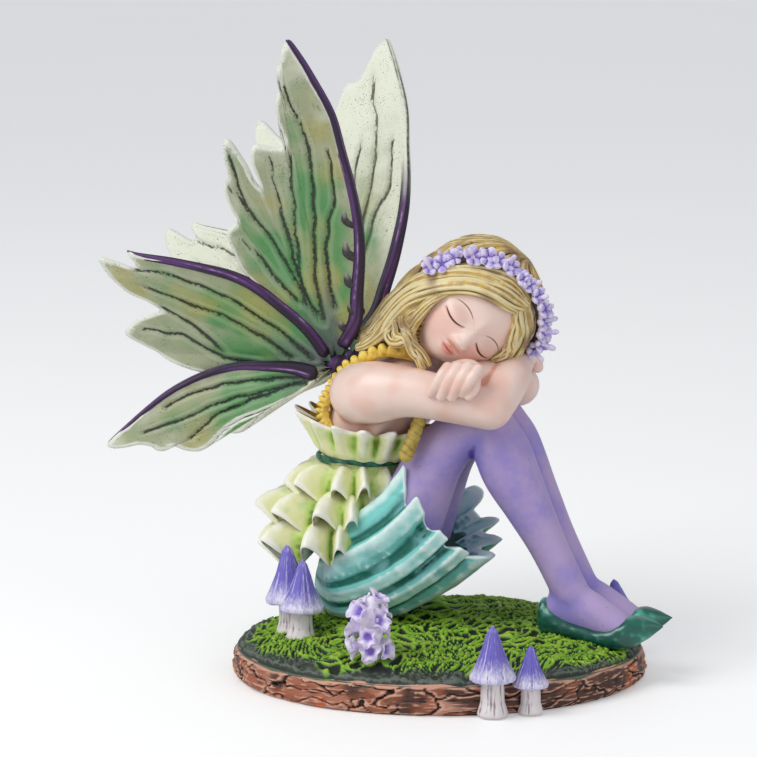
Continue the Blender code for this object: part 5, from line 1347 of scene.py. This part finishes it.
wreath_paint, wreath_shader, brush = new_paint("wreath_paint", 0.48)
hollow = brush.mark("hollow")
tone = (brush.speckle(1.2) - hollow * 0.7).between(0.35, 0.85).mix(WREATH_LILAC, srgb(228, 218, 242))
tone = (hollow * 0.7 + brush.mark("heart") * 0.8 + brush.speckle(0.8) * 0.3).between(0.4, 1.2).mix(tone,
    srgb(104, 80, 182))
tone = brush.mark("heart").between(1.7, 1.9).mix(tone, srgb(70, 52, 60))
lay_on(wreath_shader, tone, brush.speckle(0.4), 0.05)
wreath_skins, wreath_hearts = [], []
arc = spline(WREATH_ARC, 300)
rng = np.random.default_rng(140)
for count, spread, turned, low, high in ((16, 0.7, 1.1, 1.8, 2.2), (14, -1.2, 0.1, 1.6, 1.95)):
    for index in range(count):
        left, ahead, up = arc[int((index + 0.5 + rng.uniform(-0.25, 0.25)) / count * (len(arc) - 1))]
        out = unit(on_head(left, ahead * 0.75, up) - HEAD)
        centre = on_head(left, ahead, up) + HEAD_FACING * (spread + rng.uniform(-0.7, 0.7))
        centre = centre + out * rng.uniform(-0.5, 0.3)
        facing = unit(out + HEAD_FACING * turned + rng.uniform(-0.35, 0.35, 3))
        skin, heart = blossom(centre - facing * 0.3, facing, rng.uniform(0, 6), rng.uniform(low, high))
        wreath_skins.append(skin)
        wreath_hearts.append(heart.ravel())
for index in range(BUDS):
    left, ahead, up = arc[int((index + 0.5) / BUDS * (len(arc) - 1))]
    out = unit(on_head(left, ahead * 0.8, up) - HEAD)
    base = on_head(left, ahead, up) + HEAD_FACING * rng.uniform(-2.2, 2.4)
    way = unit(out + HEAD_FACING * rng.uniform(-0.6, 0.9) + rng.uniform(-0.4, 0.4, 3))
    size = rng.uniform(0.5, 0.68)
    bud = tube([(*(base + way * far), size * thick) for far, thick in BUD_STATIONS], 10, 12, 1.0,
        (0.2, 0.7, 0.7), 3)
    wreath_skins.append(bud)
    wreath_hearts.append(np.zeros(bud.shape[0] * bud.shape[1]))
cord = tube(np.concatenate([on_head(*(np.array(WREATH_ARC) * 0.94).T), np.full((8, 1), 1.0)], 1), 60, 18)
wreath_skins.append(cord)
wreath_hearts.append(np.full(cord.shape[0] * cord.shape[1], 2.0))
wreath = gather_skins("flower_wreath", wreath_skins, {"heart": np.concatenate(wreath_hearts)})
mark_hollows(wreath, 0.15, 3)
fix(wreath, wreath_paint)

# Wings: two separate castings, each of three toothed leaves on stout ribs, glued by a peg into the back.
# Leaf green at the root turns sage and cream outwards; veins are washed black green and the ribs are purple.
WING_ROOT = np.array((-22.6, 63.8))
UPPER_RIB = (
    (-20.0, 68.8), (-16.8, 74.0), (-15.6, 80.0), (-14.2, 87.5), (-13.5, 95.2), (-13.9, 102.9),
    (-15.0, 110.4),
    (-16.3, 118.2), (-19.5, 126.4), (-22.4, 132.0), (-23.4, 132.9))
RIGHT_UPPER_TEETH = (
    (-24.5, 131.0), (-25.0, 128.9), (-26.1, 127.2), (-25.4, 124.2), (-26.8, 121.8), (-27.5, 118.4),
    (-27.0, 115.0), (-26.6, 112.0),
    (-28.8, 111.0), (-32.0, 111.8), (-33.6, 111.0), (-33.9, 107.6), (-33.2, 104.4), (-32.8, 102.2),
    (-34.2, 104.2), (-35.6, 108.4),
    (-38.4, 113.2), (-39.4, 110.4), (-39.4, 104.8), (-40.6, 102.2), (-39.9, 98.0), (-38.8, 95.2),
    (-41.6, 93.2), (-40.8, 88.6),
    (-39.6, 84.6), (-35.0, 79.0))
LEFT_UPPER_TEETH = (
    (-24.8, 129.0), (-26.0, 127.0), (-28.8, 121.4), (-31.2, 120.8), (-32.4, 118.0), (-33.7, 112.6),
    (-37.0, 106.0), (-41.4, 106.6),
    (-46.0, 108.6), (-51.4, 112.4), (-52.0, 108.8), (-49.2, 102.4), (-47.0, 97.4), (-48.3, 95.2),
    (-46.0, 90.0), (-43.6, 85.6),
    (-37.0, 78.0))
MIDDLE_RIB = (
    (-24.4, 67.6), (-27.2, 72.2), (-31.4, 76.6), (-36.4, 80.9), (-41.4, 83.6), (-46.8, 85.2),
    (-53.4, 86.6), (-60.2, 87.6), (-62.5, 88.4))
MIDDLE_TEETH = (
    (-62.6, 87.2), (-61.2, 85.4), (-62.8, 85.0), (-66.0, 86.2), (-68.9, 86.8), (-68.4, 84.2),
    (-66.4, 81.4), (-63.6, 78.8),
    (-60.2, 77.2), (-58.0, 75.4), (-60.4, 74.4), (-63.8, 72.8), (-66.1, 70.4), (-64.8, 68.6),
    (-61.0, 66.4), (-57.0, 63.8),
    (-50.0, 61.6), (-46.0, 60.8))
LOWER_RIB = (
    (-27.0, 63.4), (-30.5, 64.2), (-35.7, 64.4), (-42.4, 64.0), (-49.2, 62.0), (-55.6, 58.6),
    (-60.8, 54.6), (-65.4, 50.4), (-68.9, 47.2))
LOWER_TEETH = (
    (-68.0, 45.9), (-65.2, 46.2), (-61.6, 46.8), (-59.0, 45.6), (-57.4, 45.4), (-55.6, 46.6),
    (-52.6, 45.4), (-49.8, 45.6),
    (-47.2, 47.6), (-44.6, 50.4), (-41.5, 52.6), (-37.0, 54.4), (-33.2, 56.2), (-29.0, 58.2), (-26.2, 60.8))
UPPER_VEINS = (
    ((-24.3, 73.7), (-24.4, 84.6), (-22.9, 95.3), (-22.0, 105.8), (-22.4, 113.2), (-24.1, 118.8),
    (-25.0, 124.4)),
    ((-21.4, 76.8), (-21.8, 84.6), (-20.5, 94.1), (-18.0, 101.2), (-18.3, 111.0)),
    ((-27.2, 77.9), (-28.4, 88.1), (-29.3, 98.1), (-30.1, 109.2)),
    ((-25.3, 74.9), (-27.6, 84.5), (-26.7, 98.7), (-25.8, 109.7)),
    ((-26.6, 77.9), (-32.5, 91.6), (-36.6, 98.0), (-39.0, 102.2)),
    ((-28.9, 77.9), (-34.5, 85.6), (-38.2, 91.5)),
    ((-35.3, 95.7), (-37.4, 103.2), (-38.2, 109.6)))
MIDDLE_VEINS = (
    ((-27.1, 65.7), (-35.8, 73.5), (-44.6, 79.4), (-54.3, 83.1), (-61.2, 84.5)),
    ((-31.7, 65.6), (-40.0, 72.2), (-50.7, 76.8), (-60.0, 80.5)),
    ((-46.0, 66.8), (-51.5, 72.2), (-57.0, 76.0)),
    ((-38.0, 63.8), (-47.3, 65.8), (-54.2, 70.0), (-62.1, 71.1)))
LOWER_VEINS = (
    ((-26.1, 61.8), (-33.7, 61.4), (-41.5, 60.4), (-50.5, 58.4), (-57.3, 54.9)),
    ((-28.3, 60.6), (-37.1, 58.4), (-44.9, 56.3), (-53.4, 52.7), (-61.9, 49.3)),
    ((-33.7, 59.0), (-39.9, 56.3), (-46.6, 53.0), (-52.0, 48.6)))
RIB_FLAPS = (
    ((-16.2, 76.0), (-19.2, 79.0), 0.8), ((-15.9, 82.0), (-18.9, 85.6), 0.9),
    ((-15.2, 88.0), (-18.2, 92.6), 0.85),
    ((-14.8, 95.0), (-17.2, 99.4), 0.7), ((-19.0, 72.4), (-21.6, 74.6), 0.8))
PEG_STATIONS = ((-0.6, 0.3, 2.0), (0.4, 0.0, 2.7), (1.6, -0.5, 2.1), (2.6, -0.9, 1.65), (7.4, -2.8, 1.65))
WING_SAGE = srgb(166, 172, 138)
WING_CREAM = srgb(224, 226, 206)
WING_GREEN = srgb(88, 150, 88)
WING_OLIVE = srgb(174, 166, 92)
WING_VEIN = srgb(22, 38, 30)
RIB_PURPLE = srgb(88, 48, 108)
RIB_LILAC = srgb(178, 142, 188)


def sized(points, size):
    """Outline points moved towards or away from the wing root."""
    return WING_ROOT + (np.array(points) - WING_ROOT) * size


def lean_out(side, flat, splay, layer):
    """Places on a wing over (forward, up): it leans outwards with height and towards the back."""
    x, z = flat[..., 0], flat[..., 1]
    spread = 4.2 + 0.42 * np.maximum(z - 65.8, 0.0) + splay * np.maximum(-20.0 - x, 0.0) + layer
    return np.stack((x, FIGURE_Y + side * spread, z), -1)


def from_line(flat, line):
    """Distance of each place from a bent line, and its share of the way along it."""
    best = np.full(flat.shape[:-1], 99.0)
    along = np.zeros_like(best)
    for index, (start, end) in enumerate(zip(line, line[1:])):
        step = end - start
        share = np.clip(((flat - start) @ step) / (step @ step), 0.0, 1.0)
        gap = np.linalg.norm(flat - start - share[..., None] * step, axis=-1)
        along = np.where(gap < best, (index + share) / (len(line) - 1), along)
        best = np.minimum(best, gap)
    return best, along


def sheet_lumps(flat, level, pitch, seed):
    """Lumps over (forward, up), read at one level of the lattice."""
    return lumps(np.concatenate([flat, np.full((*flat.shape[:-1], 1), level)], -1), pitch, seed)


def bend(flat, seed):
    """How far a leaf's rim stands out of its plane."""
    return 0.55 * sheet_lumps(flat, seed, 9.0, seed + 6)


def leaf(side, rib, teeth, veins, splay, layer, seed, rows=36, cols=150):
    """Closed leaf fanned out from the root, grooved along its veins and puffed between them.

    Its outline is the rib and then the teeth, smoothed a little and nicked; its edge is thin and turned up.
    """
    fine = spline(np.concatenate([rib, teeth]), 700)
    run = np.append(0.0, np.cumsum(np.linalg.norm(np.diff(fine, axis=0), axis=1)))
    even = np.linspace(0.0, run[-1], cols)
    outline = np.stack([np.interp(even, run, fine[:, axis]) for axis in (0, 1)], -1)
    nick = 0.35 * sheet_lumps(outline, seed, 1.5, seed) - 0.25
    outline = outline + unit(outline - WING_ROOT) * nick[:, None]
    share = np.linspace(0.03, 1.0, rows)[:, None] ** 0.85
    flat = WING_ROOT + (outline[None] - WING_ROOT) * share[..., None]
    vein = np.full(flat.shape[:2], 3.0)
    for index, line in enumerate(veins):
        sway = np.stack([sheet_lumps(flat, 3.0 * index, 3.0, seed + extra) for extra in (3, 4)], -1) * 0.35
        gap, along = from_line(flat + sway, spline(line, 16))
        vein = np.minimum(vein, gap / (1.15 - 0.5 * along))
    edge_gap = from_line(flat, outline)[0]
    grain = sheet_lumps(flat, seed, 1.3, seed + 5)
    thick = 0.9 - 0.45 * share ** 2 + 0.25 * np.clip(vein / 2.2, 0.0, 1.0)
    thick = thick - 0.45 * np.exp(-(vein / 0.5) ** 2) + 0.07 * grain
    thick = thick + 0.14 * np.exp(-((vein - 1.1) / 0.4) ** 2)
    thick = thick * np.clip(0.35 + edge_gap / 0.5, 0.0, 1.0) ** 0.5
    thick = thick + 0.2 * np.exp(-((edge_gap - 0.45) / 0.3) ** 2)
    middle = lean_out(side, flat, splay, layer + bend(flat, seed) * share)
    outwards = np.array((0.0, side, 0.0)) * thick[..., None]
    both = np.concatenate([(middle + outwards).reshape(-1, 3), (middle - outwards).reshape(-1, 3)])
    marks = (vein, np.exp(-(edge_gap / 0.9) ** 2), np.broadcast_to(share, vein.shape), vein * 0.0)
    rim = rim_of(rows, cols)
    strip = np.stack((np.roll(rim, -1), rim, rim + rows * cols, np.roll(rim, -1) + rows * cols), -1)
    sheet = grid_faces(rows, cols, False)
    faces = [sheet, sheet[:, ::-1] + rows * cols, strip]
    if side > 0:
        faces = [part[:, ::-1] for part in faces]
    return both, faces, np.stack([np.tile(values.ravel(), 2) for values in marks])


def rib_skin(side, rib, teeth, splay, layer, seed):
    """Stout rib along a leaf's leading edge, thinning to its tip, with lengthwise folds."""
    rib = spline(rib, 40)
    run = np.linspace(0.0, 1.0, len(rib))
    radius = 1.4 * (1.15 - 0.72 * run ** 0.8 - 0.3 * run ** 12)
    along = unit(np.gradient(rib, axis=0))
    inward = np.stack((-along[:, 1], along[:, 0]), -1)
    inward = inward * np.sign(((np.mean(teeth, 0) - rib) * inward).sum(-1, keepdims=True))
    places = lean_out(side, rib + inward * radius[:, None] * 0.45, splay, layer + bend(rib, seed))
    fold = lambda share, angle: (
        0.13 * np.cos(3 * angle + 4 * share + seed) + 0.06 * np.cos(6 * angle - 9 * share))
    return tube(np.concatenate([places, radius[:, None]], 1), 90, 20, 1.15, (0.0, 1.0, 0.0), 4, fold)


def curl(side, start, end, splay, layer, radius):
    """Small flap curling out of a rib."""
    start, end = np.array(start), np.array(end)
    end = start + (end - start) * 0.6
    middle = (start + end) / 2 + np.array((-(end - start)[1], (end - start)[0])) * 0.3
    flat = np.stack((start, middle, end))
    places = lean_out(side, flat, splay, layer + np.array((0.3, 1.0, 0.9)))
    stations = np.concatenate([places, np.array(((radius * 1.4,), (radius * 1.15,), (radius * 0.5,)))], 1)
    return tube(stations, 12, 12, 0.6)


def cast_wing(name, side, teeth, sizes, tinted, paint):
    """All three leaves of a wing with their ribs, the boss and the peg, as one mesh of closed skins.

    The ribs are purple up to the share `tinted` of their length, and fade into the leaf beyond it.
    """
    points, faces, marks, tubes, start = [], [], [], [], 0
    upper, middle, lower = sizes
    leaves = (
        (sized(UPPER_RIB, upper), np.array(teeth), UPPER_VEINS, upper, 0.17, -0.5),
        (sized(MIDDLE_RIB, middle), sized(MIDDLE_TEETH, middle), MIDDLE_VEINS, middle, 0.17, 0.3),
        (sized(LOWER_RIB, lower), sized(LOWER_TEETH, lower), LOWER_VEINS, lower, 0.25, 1.1))
    for index, (rib, edge, veins, size, splay, layer) in enumerate(leaves):
        seed = 150 + 10 * index + (5 if side > 0 else 0)
        skin, parts, values = leaf(
            side, rib, edge, [sized(line, size) for line in veins], splay, layer, seed)
        points.append(skin)
        faces += [part + start for part in parts]
        marks.append(values)
        start += len(skin)
        ridge = rib_skin(side, rib, edge, splay, layer, seed)
        tubes.append((ridge, np.clip((tinted - np.linspace(0.0, 1.0, ridge.shape[0])) / 0.12, 0.0, 1.0)))
    for at, out, size in RIB_FLAPS:
        flap = curl(side, sized(at, upper), sized(out, upper), 0.17, -0.5, size)
        tubes.append((flap, np.linspace(1.0, 0.35, flap.shape[0])))
    x, z = WING_ROOT
    peg = tube([(x + ahead, FIGURE_Y + side * 4.5, z + up, radius) for ahead, up, radius in PEG_STATIONS],
        40, 32, round_rows=3)
    tubes.append((peg, np.ones(peg.shape[0])))
    for skin, purple in tubes:
        points.append(skin.reshape(-1, 3))
        faces += [part + start for part in closed_faces(skin)]
        colour = np.repeat(purple, skin.shape[1])
        marks.append(np.stack([colour * 0.0 + level for level in (3.0, 0.6, 0.9)] + [colour]))
        start += len(colour)
    named = dict(zip(("vein", "edge", "reach", "rib"), np.concatenate(marks, 1)))
    made = lay_mesh(name, np.concatenate(points), faces, named)
    mark_hollows(made, 0.1, 5)
    fix(made, paint, "right_wing" if side < 0 else "left_wing")


def mix_wing_paint(name, pale):
    """Wing paint; `pale` pushes the whole of it towards cream."""
    paint, shader, brush = new_paint(name, 0.52)
    hollow, reach, edge, vein, rib = (
        brush.mark(mark) for mark in ("hollow", "reach", "edge", "vein", "rib"))
    cloud = brush.speckle(9.0, 2.0)
    tone = (reach + cloud * 1.1 - 0.6 + pale * 0.3).between(0.36, 0.86).mix(WING_GREEN, WING_SAGE)
    tone = ((brush.speckle(12.0, 1.0) - reach * 0.1).between(0.42, 0.62) * 0.7).mix(tone, WING_OLIVE)
    tone = (reach + brush.speckle(5.0, 2.0) * 0.6 - 0.3 + pale * 0.45).between(0.8, 1.3).mix(tone,
        WING_CREAM)
    worn = (edge + reach * 0.15 + brush.speckle(1.6, 3.0) * 0.5 - 0.3 - hollow * 0.3).between(0.4, 1.0)
    tone = worn.mix(tone, srgb(228, 230, 216))
    dots = brush.speckle(0.3, 1.0) + brush.speckle(4.0) * 0.3 - vein * 0.01
    tone = (dots.between(0.79, 0.86) * 0.75).mix(tone, srgb(78, 88, 58))
    purple = (brush.speckle(1.6, 2.0) - hollow * 0.8).between(0.5, 0.95).mix(RIB_PURPLE, RIB_LILAC)
    purple = (hollow + brush.speckle(1.0) * 0.3).between(0.45, 1.1).mix(purple, srgb(36, 18, 46))
    near_root = (0.36 - reach + brush.speckle(2.6, 2.0) * 0.3).between(0.12, 0.46) * 0.75
    tone = near_root.mix(tone, srgb(84, 72, 98))
    beside = (1.9 - vein) * (vein - 0.5)
    tone = (beside.between(0.1, 0.5) * 0.12).mix(tone, WING_CREAM)
    line = 0.5 - vein + (brush.speckle(0.7) - 0.5) * 1.1
    tone = (line.between(0.0, 0.35) * (0.95 - pale * 0.35)).mix(tone, WING_VEIN)
    tone = (hollow + brush.speckle(0.9) * 0.4).between(0.7, 1.3).mix(tone, srgb(60, 66, 52))
    lay_on(shader, rib.mix(tone, purple), brush.speckle(0.5, 3.0), 0.07)
    return paint


cast_wing("right_wing_cast", -1, RIGHT_UPPER_TEETH, (1.0, 1.0, 1.0), 2.0,
    mix_wing_paint("right_wing_paint", 0.0))
cast_wing("left_wing_cast", 1, LEFT_UPPER_TEETH, (0.96, 1.06, 1.03), 0.55,
    mix_wing_paint("left_wing_paint", 1.0))
